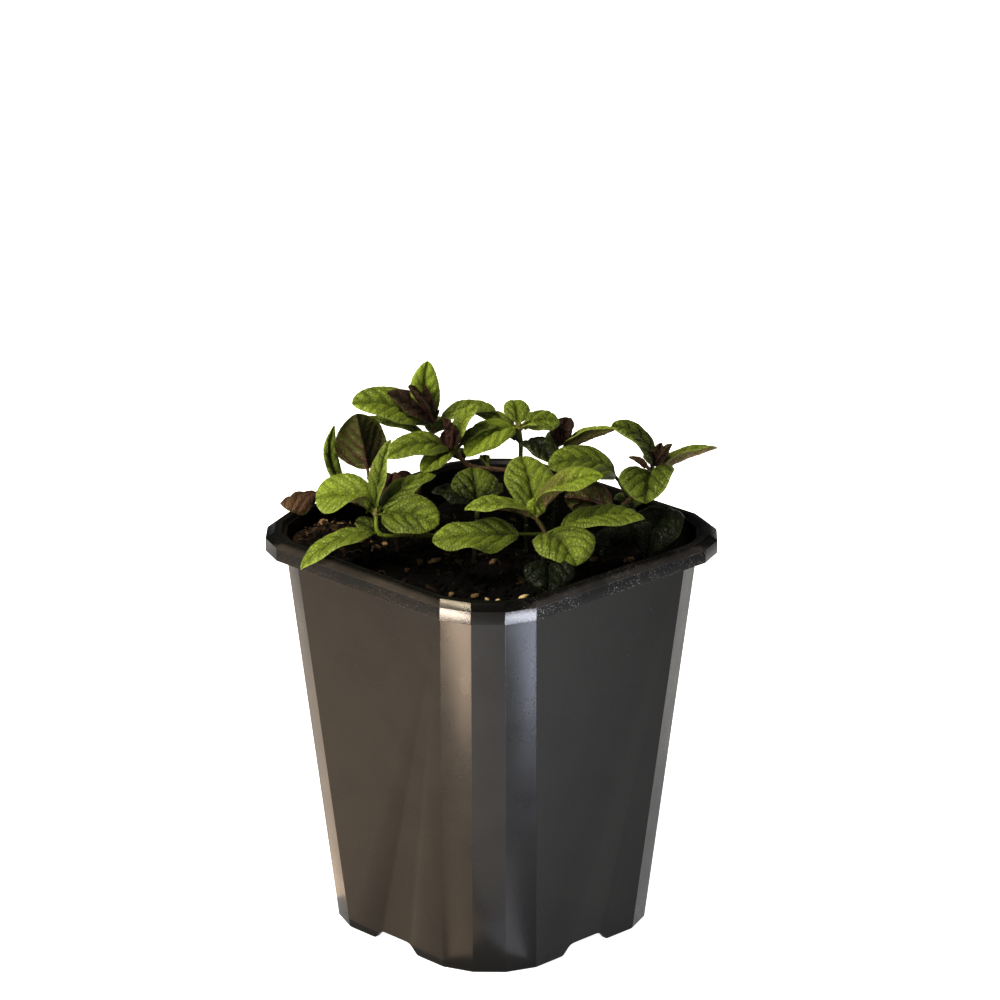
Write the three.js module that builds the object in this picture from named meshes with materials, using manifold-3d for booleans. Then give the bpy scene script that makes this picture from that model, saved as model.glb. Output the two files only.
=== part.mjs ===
// A mint plant in a square nursery pot, in millimetres.
// +Z is up. The origin is the centre of the pot's base, on the surface that it stands on.
// The pot's sides are square to X and Y.
import * as THREE from 'three';
import { mergeVertices } from 'three/addons/utils/BufferGeometryUtils.js';
import Module from 'manifold-3d';

const wasm = await Module();
wasm.setup();

const { sin, cos, abs, PI } = Math;
const rad = THREE.MathUtils.degToRad;

// Pot
const HEIGHT = 141.8; // to the top of the rim
const RIM = 62.5; // half width over the rim
const RIM_SKIRT = 6.7; // height of the turned-down rim, chamfer included
const CHAMFER = 2.1;
const BODY_TOP = 57.6; // half width of the body just under the rim
const BODY_BASE = 45.8; // half width at the foot
const WALL = 1.2;
const LIP = 1.2; // depth of the step along the inner edge of the rim
const EDGE = 0.6; // rounding of an edge
const FACET = 11.15; // width of each of the three facets at a corner
const INNER_FACET = 10.4; // the same on the inside of the wall
const FLOOR = 4; // height of the floor's underside over the surface
const ARCH_TOP = 11; // width of the flat part of the arch in the bottom edge
const ARCH_FOOT = 25; // width of the arch where it meets the edge
const DRAIN = 3; // radius of a drain hole
const DRAIN_REACH = 33; // distance of the outer drain holes from the middle

// Soil
const SOIL = 131.5; // mean height of the soil
const GAP = 0.3; // clearance between neighbours
const SOIL_CELLS = 14; // cells of the soil's surface along each side
const CHIPS = 32; // chips of bark in the surface

// Plant
const PLANT_TURN = 45.84; // the plant's x axis against the pot's, in degrees
const BLADE = 0.64; // thickness of a leaf
const STEM = 1.7; // width of a square stem
const STALK = 1.1; // width of a leaf stalk
const LONG_LEAF = 17; // a leaf longer than this has more steps along it
const FOOT = 7; // depth of a stem's foot in the soil
const BUD = 1.3; // radius of the bud in the middle of the young leaves

// A repeatable random number between 0 and 1
function seeded(seed) {
  let state = seed;
  return () => {
    state = (Math.imul(state, 1664525) + 1013904223) >>> 0;
    return state / 4294967296;
  };
}

// A closed geometry as a solid
function solid(geometry) {
  const bare = geometry.index ? geometry.clone() : geometry;
  bare.deleteAttribute('normal');
  bare.deleteAttribute('uv');
  const merged = mergeVertices(bare, 1e-4);
  return new wasm.Manifold(new wasm.Mesh({
    numProp: 3,
    vertProperties: new Float32Array(merged.attributes.position.array),
    triVerts: new Uint32Array(merged.index.array),
  }));
}

// The largest of a body's loose pieces
const largest = (body) => body.decompose().sort((a, b) => b.volume() - a.volume())[0];

const join = (solids) => solids.reduce((whole, piece) => whole.add(piece));

function geometryOf(body) {
  const mesh = body.getMesh();
  const geometry = new THREE.BufferGeometry();
  geometry.setAttribute('position', new THREE.BufferAttribute(mesh.vertProperties, 3));
  geometry.setIndex(new THREE.BufferAttribute(mesh.triVerts, 1));
  return geometry;
}

// Rings of equal length, one after the other, as a closed body: side walls between
// neighbouring rings, and a fan over the first and the last
function loft(rings) {
  const n = rings[0].length;
  const points = rings.flat();
  const index = [];
  for (let k = 0; k + 1 < rings.length; k++) {
    for (let i = 0; i < n; i++) {
      const a = k * n + i;
      const b = k * n + (i + 1) % n;
      index.push(a, b, b + n, a, b + n, a + n);
    }
  }
  const last = (rings.length - 1) * n;
  for (let i = 1; i + 1 < n; i++) {
    index.push(0, i + 1, i);
    index.push(last, last + i, last + i + 1);
  }
  const geometry = new THREE.BufferGeometry();
  geometry.setAttribute('position', new THREE.Float32BufferAttribute(points.flat(), 3));
  geometry.setIndex(index);
  return geometry;
}

// The pot's outline at one height: a square of the given half width whose corners
// are each cut by three facets, turned 22.5 degrees from one to the next
function potRing(half, z, facet = FACET) {
  const cut = facet * (sin(rad(22.5)) + sin(rad(45)) + sin(rad(67.5)));
  const corner = [[half, half - cut]];
  for (const turn of [22.5, 45]) {
    const [x, y] = corner.at(-1);
    corner.push([x - facet * sin(rad(turn)), y + facet * cos(rad(turn))]);
  }
  corner.push([half - cut, half]);
  const ring = [];
  for (let quarter = 0; quarter < 4; quarter++) {
    for (const [x, y] of corner) {
      const c = [1, 0, -1, 0][quarter];
      const s = [0, 1, 0, -1][quarter];
      ring.push([c * x - s * y, s * x + c * y, z]);
    }
  }
  return ring;
}

const slope = (BODY_TOP - BODY_BASE) / (HEIGHT - RIM_SKIRT);
const outerAt = (z) => BODY_BASE + slope * z;
const innerAt = (z) => outerAt(z) - WALL;

// The arch in the bottom edge: a low trapezium with S-shaped shoulders, pushed through both walls
function arch() {
  const shape = new THREE.Shape();
  const foot = ARCH_FOOT / 2;
  const top = ARCH_TOP / 2;
  const mid = (foot + top) / 2;
  shape.moveTo(-foot, -1);
  shape.lineTo(foot, -1);
  shape.lineTo(foot, 0);
  shape.bezierCurveTo(mid, 0, mid, FLOOR, top, FLOOR);
  shape.lineTo(-top, FLOOR);
  shape.bezierCurveTo(-mid, FLOOR, -mid, 0, -foot, 0);
  const through = new THREE.ExtrudeGeometry(shape, {
    depth: 4 * BODY_BASE, bevelEnabled: false, curveSegments: 6,
  });
  through.translate(0, 0, -2 * BODY_BASE);
  return through.rotateX(PI / 2);
}

function pot() {
  const under = HEIGHT - RIM_SKIRT;
  const hollow = HEIGHT - CHAMFER - WALL;
  const lip = HEIGHT - LIP;
  const floorTop = FLOOR + WALL;
  const shell = solid(loft([
    potRing(BODY_BASE - EDGE, 0),
    potRing(outerAt(EDGE), EDGE),
    potRing(outerAt(hollow), hollow),
    potRing(RIM - WALL, hollow),
    potRing(RIM - WALL, under),
    potRing(RIM, under),
    potRing(RIM, HEIGHT - CHAMFER),
    potRing(RIM - CHAMFER, HEIGHT),
    potRing(BODY_TOP + EDGE, HEIGHT, INNER_FACET),
    potRing(BODY_TOP, lip, INNER_FACET),
    potRing(innerAt(lip), lip, INNER_FACET),
    potRing(innerAt(floorTop), floorTop, INNER_FACET),
  ]));
  const below = solid(loft([
    potRing(BODY_BASE - WALL - EDGE, -1, INNER_FACET),
    potRing(BODY_BASE - WALL, FLOOR, INNER_FACET),
  ]));
  let body = shell.subtract(below);
  const slot = arch();
  body = body.subtract(solid(slot));
  body = body.subtract(solid(slot.clone().rotateZ(PI / 2)));
  const drain = new THREE.CylinderGeometry(DRAIN, DRAIN, 20, 12).rotateX(PI / 2);
  for (let i = 0; i < 9; i++) {
    const reach = i === 0 ? 0 : DRAIN_REACH;
    const turn = rad(45 * i + 45);
    const hole = drain.clone().translate(reach * cos(turn), reach * sin(turn), 0);
    body = body.subtract(solid(hole));
  }
  return body;
}

// Height of the soil's surface: a slow swell, a fine roughness, and a fall towards the walls
function soilHeight(x, y, rough) {
  const swell = 1.2 * sin(x / 13) * cos(y / 11 + 1) + 0.7 * sin((x + 2 * y) / 9);
  const edge = Math.max(abs(x), abs(y)) / BODY_TOP;
  return SOIL + swell + rough - 3 * edge ** 6;
}

// A height field over a square block, cut to the inside of the pot, with chips of bark in it
function soil() {
  const random = seeded(7);
  const n = SOIL_CELLS;
  const half = innerAt(HEIGHT);
  const base = FLOOR + WALL + GAP;
  const at = (i) => half * (2 * i / n - 1);
  const cell = (i, j) => j * (n + 1) + i;
  const points = [];
  const index = [];
  for (let j = 0; j <= n; j++) {
    for (let i = 0; i <= n; i++) {
      const [x, y] = [at(i), at(j)];
      points.push([x, y, soilHeight(x, y, 1.2 * (random() - 0.5))]);
      if (i < n && j < n) {
        const [a, b, c, d] = [cell(i, j), cell(i + 1, j), cell(i + 1, j + 1), cell(i, j + 1)];
        index.push(a, b, c, a, c, d);
      }
    }
  }
  const round = [];
  for (let i = 0; i < n; i++) round.push(cell(i, 0));
  for (let j = 0; j < n; j++) round.push(cell(n, j));
  for (let i = n; i > 0; i--) round.push(cell(i, n));
  for (let j = n; j > 0; j--) round.push(cell(0, j));
  const foot = points.length;
  const centre = foot + round.length;
  for (const k of round) points.push([points[k][0], points[k][1], base]);
  points.push([0, 0, base]);
  round.forEach((a, k) => {
    const b = round[(k + 1) % round.length];
    const [c, d] = [foot + k, foot + (k + 1) % round.length];
    index.push(a, c, d, a, d, b, centre, d, c);
  });
  const geometry = new THREE.BufferGeometry();
  geometry.setAttribute('position', new THREE.Float32BufferAttribute(points.flat(), 3));
  geometry.setIndex(index);
  let body = solid(geometry);
  for (let k = 0; k < CHIPS; k++) {
    const [x, y] = [half * (1.8 * random() - 0.9), half * (1.8 * random() - 0.9)];
    const chip = new THREE.BoxGeometry(3 + 3.5 * random(), 2 + 2 * random(), 1.2 + 1.4 * random());
    chip.rotateX(1.2 * random() - 0.6).rotateY(1.2 * random() - 0.6).rotateZ(2 * PI * random());
    chip.translate(x, y, soilHeight(x, y, 0.4));
    body = body.add(solid(chip));
  }
  const inside = solid(loft([
    potRing(innerAt(base - 1) - GAP, base - 1, INNER_FACET),
    potRing(innerAt(HEIGHT) - GAP, HEIGHT, INNER_FACET),
  ]));
  return body.intersect(inside);
}

// Half width of a leaf along its length from 0 at the base to 1 at the tip, widest at
// two fifths of its length
const outline = (s) => sin(PI * s ** 0.78) ** 0.72;

// A leaf's midrib: an arc that starts at an azimuth and a pitch and droops evenly, and the
// two directions across it, turned by the roll. distance runs from the stem to the tip.
function spine([, azimuth, pitch, length, droop, , , roll], start) {
  const a = rad(azimuth);
  const out = new THREE.Vector3(cos(a), sin(a), 0);
  const left = new THREE.Vector3(-sin(a), cos(a), 0);
  const up = new THREE.Vector3(0, 0, 1);
  const bend = rad(droop) || 1e-6;
  const first = rad(pitch);
  return (distance) => {
    const s = distance / length;
    const angle = first - bend * s;
    const along = length * (sin(first) - sin(angle)) / bend;
    const rise = length * (cos(angle) - cos(first)) / bend;
    const point = start.clone().addScaledVector(out, along).addScaledVector(up, rise);
    const normal = out.clone().multiplyScalar(-sin(angle)).addScaledVector(up, cos(angle));
    const r = rad(roll);
    const across = left.clone().multiplyScalar(cos(r)).addScaledVector(normal, sin(r));
    const over = normal.multiplyScalar(cos(r)).addScaledVector(left, -sin(r));
    return { point, across, over };
  };
}

// A leaf as one closed body: first the bare stalk, then the outline spread along the midrib,
// each half raised by the fold and given its thickness along its own normal.
// grow makes it larger all round.
function leafBody(leaf, start, stalk, grow = 0) {
  const [, , , length, , width, fold] = leaf;
  const at = spine(leaf, start);
  const steps = length > LONG_LEAF ? 8 : 6;
  const rows = Array.from({ length: steps + 1 }, (_, i) => (1 - cos(PI * i / steps)) / 2);
  if (stalk > 0) rows.unshift(-1);
  const faces = [[], []];
  for (const s of rows) {
    const bare = s <= 0;
    const distance = s < 0 ? 0 : stalk + (length + grow - stalk) * s;
    const { point, across, over } = at(distance);
    const half = Math.max(width / 2 * outline(Math.max(s, 0)), STALK / 2) + grow;
    const thick = (bare && stalk > 0 ? STALK : BLADE) / 2 + grow;
    const f = bare ? 0 : rad(fold);
    for (const side of [-1, 0, 1]) {
      const middle = point.clone().addScaledVector(across, half * side * cos(f))
        .addScaledVector(over, half * abs(side) * sin(f));
      const normal = over.clone().multiplyScalar(cos(f)).addScaledVector(across, -side * sin(f));
      faces[0].push(middle.clone().addScaledVector(normal, thick).toArray());
      faces[1].push(middle.clone().addScaledVector(normal, -thick).toArray());
    }
  }
  return solid(plate(faces, rows.length - 1, 2));
}

// Two faces of (long + 1) by (wide + 1) points, one over the other, split into triangles
// alike and closed by a strip round their edge
function plate(faces, long, wide) {
  const row = wide + 1;
  const size = faces[0].length;
  const index = [];
  for (let i = 0; i < long; i++) {
    for (let j = 0; j < wide; j++) {
      const [a, b, c, d] = [i * row + j, (i + 1) * row + j, (i + 1) * row + j + 1, i * row + j + 1];
      index.push(a, b, c, a, c, d);
      index.push(size + a, size + c, size + b, size + a, size + d, size + c);
    }
  }
  const rim = [];
  for (let i = 0; i < long; i++) rim.push(i * row);
  for (let j = 0; j < wide; j++) rim.push(long * row + j);
  for (let i = long; i > 0; i--) rim.push(i * row + wide);
  for (let j = wide; j > 0; j--) rim.push(j);
  rim.forEach((a, k) => {
    const b = rim[(k + 1) % rim.length];
    index.push(a, size + b, b, a, size + a, size + b);
  });
  const geometry = new THREE.BufferGeometry();
  geometry.setAttribute('position', new THREE.Float32BufferAttribute(faces.flat(2), 3));
  geometry.setIndex(index);
  return geometry;
}

// A square section of the given width, carried along a smooth curve through the points
function rod(points, width, steps) {
  const half = width / 2;
  const section = new THREE.Shape([[-half, -half], [half, -half], [half, half], [-half, half]]
    .map(([x, y]) => new THREE.Vector2(x, y)));
  const path = new THREE.CatmullRomCurve3(points);
  return new THREE.ExtrudeGeometry(section, { extrudePath: path, steps, bevelEnabled: false });
}

// The shoots, in the plant's own frame: x to the right and y to the back when the pot is
// seen from its front corner. stem is the line of the stem's middle, from the soil up, and
// stalk the bare length before each blade. A leaf is [stem point, azimuth, pitch, length,
// droop, width, fold, roll, stalk of its own]: the azimuth is counted from +x towards +y,
// the length runs from the stem to the tip, a droop under 0 curves the leaf upwards, and a
// fold over 0 raises its edges. The young leaves stand on the bud at the tip.
const shoots = {
  shoot_tall: {
    stem: [[-27, 17, 131], [-25, 18, 150], [-21, 21, 167], [-19.5, 22, 171]],
    stalk: 3,
    leaves: [
      [3, 180, 62, 24, -45, 10.5, 15, -75],
      [3, 198, 41, 32, 39, 10.5, 15, -25],
      [2, 165, 26, 24, 25, 8, 5, 0],
      [3, 13, 42, 23, 62, 10, 10, 10],
      [2, 75, 20, 18, 30, 9, 10, 0],
    ],
    tip: [-20.5, 20.5, 173],
    young: [
      [198, 45, 20, 15, 7, 30, -10],
      [233, 63, 17, 5, 8, 35, 0],
      [267, 76, 14, 5, 8, 35, 0],
    ],
  },
  shoot_runner: {
    stem: [[12, 4, 131], [11.5, 6, 150], [9, 8, 158.5], [-1, 9, 160], [-8, 10, 161], [-12.5, 10, 166]],
    stalk: 3,
    leaves: [
      [5, 207, 32, 27, 58, 12.5, 12, -22],
      [5, 230, 6, 17.5, 35, 8.5, 10, -12],
      [5, 26, 74, 18, 30, 10.5, 25, 0],
      [5, 13, 58, 21, 62, 7, 15, 0],
      [4, 130, 25, 14, 30, 8, 10, 0],
      [3, 110, 40, 7, 30, 3.5, 20, 0],
    ],
    tip: [-14, 8.5, 167.5],
    young: [
      [215, 80, 12, 5, 8, 50, 0],
      [40, 84, 10, 5, 7, 50, 0],
    ],
  },
  shoot_back: {
    stem: [[9, 22, 131], [9.5, 22, 150], [10, 22, 165], [9.5, 23, 169.5]],
    stalk: 2.5,
    leaves: [
      [3, 100, 54, 13, 40, 9, 10, 0],
      [3, 153, 25, 18, 30, 8, 8, 0],
      [3, 219, 20, 25, 64, 12.5, 10, -22],
      [3, 17, 26, 15, 45, 11, 10, 22],
      [3, -46, 32, 9, 20, 3.5, 15, 0],
      [2, -48, 20, 17, 65, 12, 12, 0],
      [2, 130, 20, 18, 40, 10, 10, 0],
    ],
  },
  shoot_back_right: {
    stem: [[21, 27, 131], [23, 28, 150], [22.5, 29, 159.5]],
    stalk: 2.5,
    leaves: [
      [2, -9, 29, 22, 10, 10, 38, -10],
      [2, 175, 40, 11, 40, 7, 10, 0],
      [2, 85, 30, 16, 50, 9, 10, 0],
      [1, 60, 20, 18, 40, 10, 10, 0],
    ],
    tip: [24, 30, 162],
    young: [
      [60, 85, 10, 60, 9, 20, 0],
      [235, 70, 8, 5, 5, 40, 0],
    ],
  },
  shoot_broad: {
    stem: [[50, 14, 131], [49, 15, 142], [44, 18, 152]],
    stalk: 3,
    leaves: [
      [2, 203, 55, 30, 74, 15, 8, -30],
      [1, 100, 20, 18, 40, 10, 10, 0],
    ],
  },
  shoot_right: {
    stem: [[38, 3, 131], [43, 4, 146], [49, 3, 153], [54.5, 3, 161]],
    stalk: 2.5,
    leaves: [
      [3, 188, 92, 24, 84, 11, 12, -25],
      [3, 28, 15, 26, 10, 9.5, 38, -10],
      [3, 262, 12, 20, 55, 20, 26, 8],
      [3, 143, 34, 10.5, 30, 3.2, 25, 0],
      [3, 75, 40, 15, 60, 9, 10, 0],
      [1, 170, 40, 16, 60, 9, -25, 40],
    ],
    tip: [56.5, 3, 163],
    young: [
      [10, 60, 9, 5, 6, 45, 0],
      [180, 80, 7, 5, 5, 45, 0],
      [60, 75, 8, 5, 6, 40, 0],
    ],
  },
  shoot_front: {
    stem: [[17, -32, 131], [17.5, -31, 142], [18, -30, 150], [15, -28, 155]],
    stalk: 2.5,
    leaves: [
      [3, 104, 52, 25.5, 30, 17, 12, 0],
      [3, 192, 31, 25.5, 40, 12.5, 18, -18],
      [3, 6, 64, 28, 64, 14, 34, 5],
      [3, 240, 75, 8, 5, 6, 45, 0],
      [2, 302, 14, 21, 58, 22, 12, 5],
      [2, 13, 24, 35, 38, 14, 8, 10, 6],
      [2, 186, 3, 38, 9, 14, 10, -32, 9],
      [1, 30, 15, 28, 35, 11, 10, 0],
    ],
  },
  shoot_left: {
    stem: [[-14, 3, 131], [-17, -3, 139], [-27, -12, 143.5], [-38, -19, 146.5], [-39, -17, 152.5]],
    stalk: 2.5,
    leaves: [
      [4, 159, 58, 23, 70, 18.5, 14, -12],
      [4, 44, 79, 26, 10, 9, 35, 0],
      [4, -21, 10, 23, 24, 17, 14, 34],
      [4, 32, 40, 26, 35, 12, 10, 0],
      [3, 204, 6, 30.5, 46, 12, 15, -5],
      [3, 175, 10, 8, 10, 5, 10, 0],
    ],
  },
  shoot_left_back: {
    stem: [[-36, 13, 131], [-39, 13, 146], [-42, 12, 156]],
    stalk: 3,
    leaves: [
      [2, 180, 82, 23, 5, 18.5, 12, 90],
      [1, 180, 30, 34, -58, 7.5, 20, -60, 14],
    ],
  },
  shoot_middle: {
    stem: [[-6, -5, 131], [-5, -4, 143], [-5, -3, 150]],
    stalk: 2,
    leaves: [
      [2, 99, 63, 15, 30, 16, 10, 0],
      [2, 44, 50, 13, 40, 11, 10, 0],
      [2, 160, 34, 17, 40, 14, 10, 0],
      [1, -60, 25, 15, 40, 9, 10, 0],
    ],
  },
  shoot_right_low: {
    stem: [[52, -6, 131], [55, -5, 142], [61, -1, 149]],
    stalk: 2.5,
    leaves: [
      [2, 245, 8, 24, 75, 19, 10, 0],
      [1, 200, 15, 24, 40, 13, 10, 0],
    ],
  },
  shoot_front_low: {
    stem: [[20, -42, 131], [19.5, -43, 137.5], [19, -43, 141.5]],
    stalk: 2,
    leaves: [
      [2, 270, 10, 16, 70, 15, 12, 0],
      [1, 60, 25, 12, 40, 9, 10, 0],
    ],
  },
  dried_leaf: {
    finish: 'dead',
    stem: [[-32, 4, 131], [-33, 4, 150], [-33, 4, 160]],
    stalk: 2,
    leaves: [
      [2, 230, 0, 13, 80, 8, 45, 0],
      [2, 20, 10, 9, 90, 6, 45, 0],
    ],
  },
};

// The dead leaf that lies over the rim: where its stalk starts, and the leaf as above
const DEAD_START = [-54, 20.5, 146];
const DEAD_LEAF = [0, 184, 20, 19, 50, 13, -45, 0, 6];

const toVector = ([x, y, z]) => new THREE.Vector3(x, y, z);

// A stem's line, with its foot set straight down into the soil
function stemBody(stem, grow) {
  const [x, y, z] = stem[0];
  const points = [[x, y, z - FOOT - grow], ...stem].map(toVector);
  return solid(rod(points, STEM + 2 * grow, 2 * points.length - 2));
}

// One leafy stem, with each leaf's stalk rooted in the stem's middle
function leafyStem({ stem, stalk, leaves }, grow = 0) {
  const bodies = leaves.map((leaf) => (
    leafBody(leaf, toVector(stem[leaf[0]]), leaf[8] ?? stalk, grow)));
  return join([stemBody(stem, grow), ...bodies]);
}

// The young leaves at a stem's tip, rooted in a bud of their own on the stem's end
function youngLeaves({ tip, young }) {
  const start = toVector(tip);
  const bud = new THREE.IcosahedronGeometry(BUD, 0).translate(...tip);
  const bodies = young.map((leaf) => leafBody([0, ...leaf], start, 0));
  return join([solid(bud), ...bodies]);
}

// What the photograph shows of each colour
const finishes = {
  plastic: { color: 0x2e2b29, roughness: 0.45 },
  earth: { color: 0x1d1712, roughness: 0.95 },
  green: { color: 0x6f8f24, roughness: 0.55 },
  purple: { color: 0x3d2720, roughness: 0.6 },
  dead: { color: 0x7a4a2c, roughness: 0.85 },
};
const materials = Object.fromEntries(Object.entries(finishes)
  .map(([name, look]) => [name, new THREE.MeshStandardMaterial({ ...look, metalness: 0 })]));

function part(name, body, finish) {
  const mesh = new THREE.Mesh(geometryOf(body), materials[finish]);
  mesh.name = name;
  return mesh;
}

const plant = new THREE.Group();
plant.rotation.z = rad(PLANT_TURN);
const holes = [];
for (const [name, shoot] of Object.entries(shoots)) {
  const body = leafyStem(shoot);
  plant.add(part(name, body, shoot.finish ?? 'green'));
  holes.push(stemBody(shoot.stem, GAP));
  if (shoot.young) {
    const young = youngLeaves(shoot).subtract(leafyStem(shoot, GAP));
    plant.add(part(`${name}_tip`, largest(young), 'purple'));
  }
}
plant.add(part('dead_leaf', leafBody(DEAD_LEAF, toVector(DEAD_START), DEAD_LEAF[8]), 'dead'));
const turned = join(holes).rotate([0, 0, PLANT_TURN]);

const object = new THREE.Group();
object.add(part('pot', pot(), 'plastic'));
object.add(part('soil', largest(soil().subtract(turned)), 'earth'));
object.add(plant);

export default object;
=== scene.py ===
"""Looks of a young mint plant in a square black nursery pot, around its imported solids.

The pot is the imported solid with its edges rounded. Soil, stems and leaves are worked out here
as surfaces on grids, in millimetres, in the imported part's own frame, and written in metres.
"""
from collections import namedtuple
from functools import partial

import bmesh
import bpy
import numpy as np
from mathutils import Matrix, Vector


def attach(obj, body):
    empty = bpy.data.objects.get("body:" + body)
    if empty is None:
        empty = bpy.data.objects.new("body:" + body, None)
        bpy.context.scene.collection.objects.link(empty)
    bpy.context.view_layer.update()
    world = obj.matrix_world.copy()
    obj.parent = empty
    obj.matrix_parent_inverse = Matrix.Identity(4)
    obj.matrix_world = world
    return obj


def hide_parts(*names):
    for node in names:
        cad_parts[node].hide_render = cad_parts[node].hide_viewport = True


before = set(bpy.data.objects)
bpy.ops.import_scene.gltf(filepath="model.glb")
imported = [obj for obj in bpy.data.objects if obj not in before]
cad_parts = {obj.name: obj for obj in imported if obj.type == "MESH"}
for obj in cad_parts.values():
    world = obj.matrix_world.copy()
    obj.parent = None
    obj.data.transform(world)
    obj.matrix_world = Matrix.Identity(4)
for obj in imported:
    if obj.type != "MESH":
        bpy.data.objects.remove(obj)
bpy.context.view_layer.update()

MM = 0.001
rad = np.deg2rad

# Sizes of the solids, in mm
PLANT_TURN = 45.84  # the plant's x axis against the pot's, in degrees
HEIGHT = 141.8
RIM_SKIRT = 6.7  # how far the rim reaches down
BODY_TOP = 57.6  # half the width of the pot's body under the rim
BODY_BASE = 45.8  # half its width at the foot
SLOPE = (BODY_TOP - BODY_BASE) / (HEIGHT - RIM_SKIRT)
WALL = 1.2
INNER_FACET = 10.4  # width of a corner facet inside
FACET_TURNS = (22.5, 45, 67.5)  # ways that the three facets of a corner face, in degrees
SOIL_LEVEL = 131.5
SOIL_FOOT = 5.5
SOIL_GAP = 0.35  # between soil and wall
STEM_WIDTH = 1.7
FOOT_DEPTH = 6.0  # how deep a stem stands in the soil
EDGE_ROUND = 0.35  # how wide the pot's edges are rounded

# Leaves, in mm
LEAF_ROWS = 58
LEAF_COLUMNS = 30
STALK_END = 0.06  # share of the blade in which the stalk widens into it
VEIN_GAP = 4.9  # from one side vein to the next along the midrib
VEIN_LEAN = 0.5  # how far a side vein runs forward for each mm outwards, at the midrib
VEIN_ARCH = 0.75  # how much further forward it curves by the margin, in half widths
BLADE = 0.34
PUFF = 1.1  # how far a leaf 14 mm wide puffs up between side veins
GROOVE = 0.6  # how deep it sinks along the midrib
TOOTH = 1.9  # spacing of the teeth along the margin
TOOTH_DEPTH = 0.34  # twice the depth of a tooth
LEAF_HAIRS = 110  # along the margins of one leaf
STEM_HAIRS = 8  # for each row of points of a stem
HAIR = 0.05  # radius at the root

# Counts of small things in the soil, and where they lie in the pot, in mm
CRUMBS = 1500
CHIPS = 150
FLAKES = 150
FIBRES = 70
HEAP = (-50, -38)
HEAP_HEIGHT = 8.5
HEAP_SPREAD = 420  # in mm^2
# painted light: round this place the soil is painted paler, as the light that falls into the left
# corner
PAINTED_LIGHT_CENTRE = (-47, -36)
PAINTED_LIGHT_SPREAD = 260
FLAKE_PATCH = (-44, -34)
FLAKE_REACH = 19

# A leaf as in the part's source, then its looks. It leaves the stem's point joint, and its
# angles are in degrees. tone is 0 for deep green and 1 for bright yellow-green; a tone below 0
# is painted shade that darkens a leaf lying low in the pot in the shadow of the others. purple
# is the share of purple-brown. blunt is 0 for a pointed tip and 1 for a round one. cup is how
# many degrees more one half folds up at the base, the left half where it is positive, and wavy
# scales the waves of the margin
Leaf = namedtuple(
    "Leaf", "joint azimuth pitch length droop width fold roll tone purple stalk blunt cup wavy",
    defaults=(0.5, 0.1, None, 0.3, 0, 1))

# A shoot: the points of its stem, the length of its leaves' stalks where a leaf has none of its
# own, its leaves, the stem's share of purple-brown, the place of its young tip and the leaves
# there, the stem's tone, and the height in mm below which the stem is painted dark as shade
Shoot = namedtuple("Shoot", "stem stalk leaves ruddy tip young pale dark",
                   defaults=(0.5, None, (), 0.45, 150))

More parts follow.
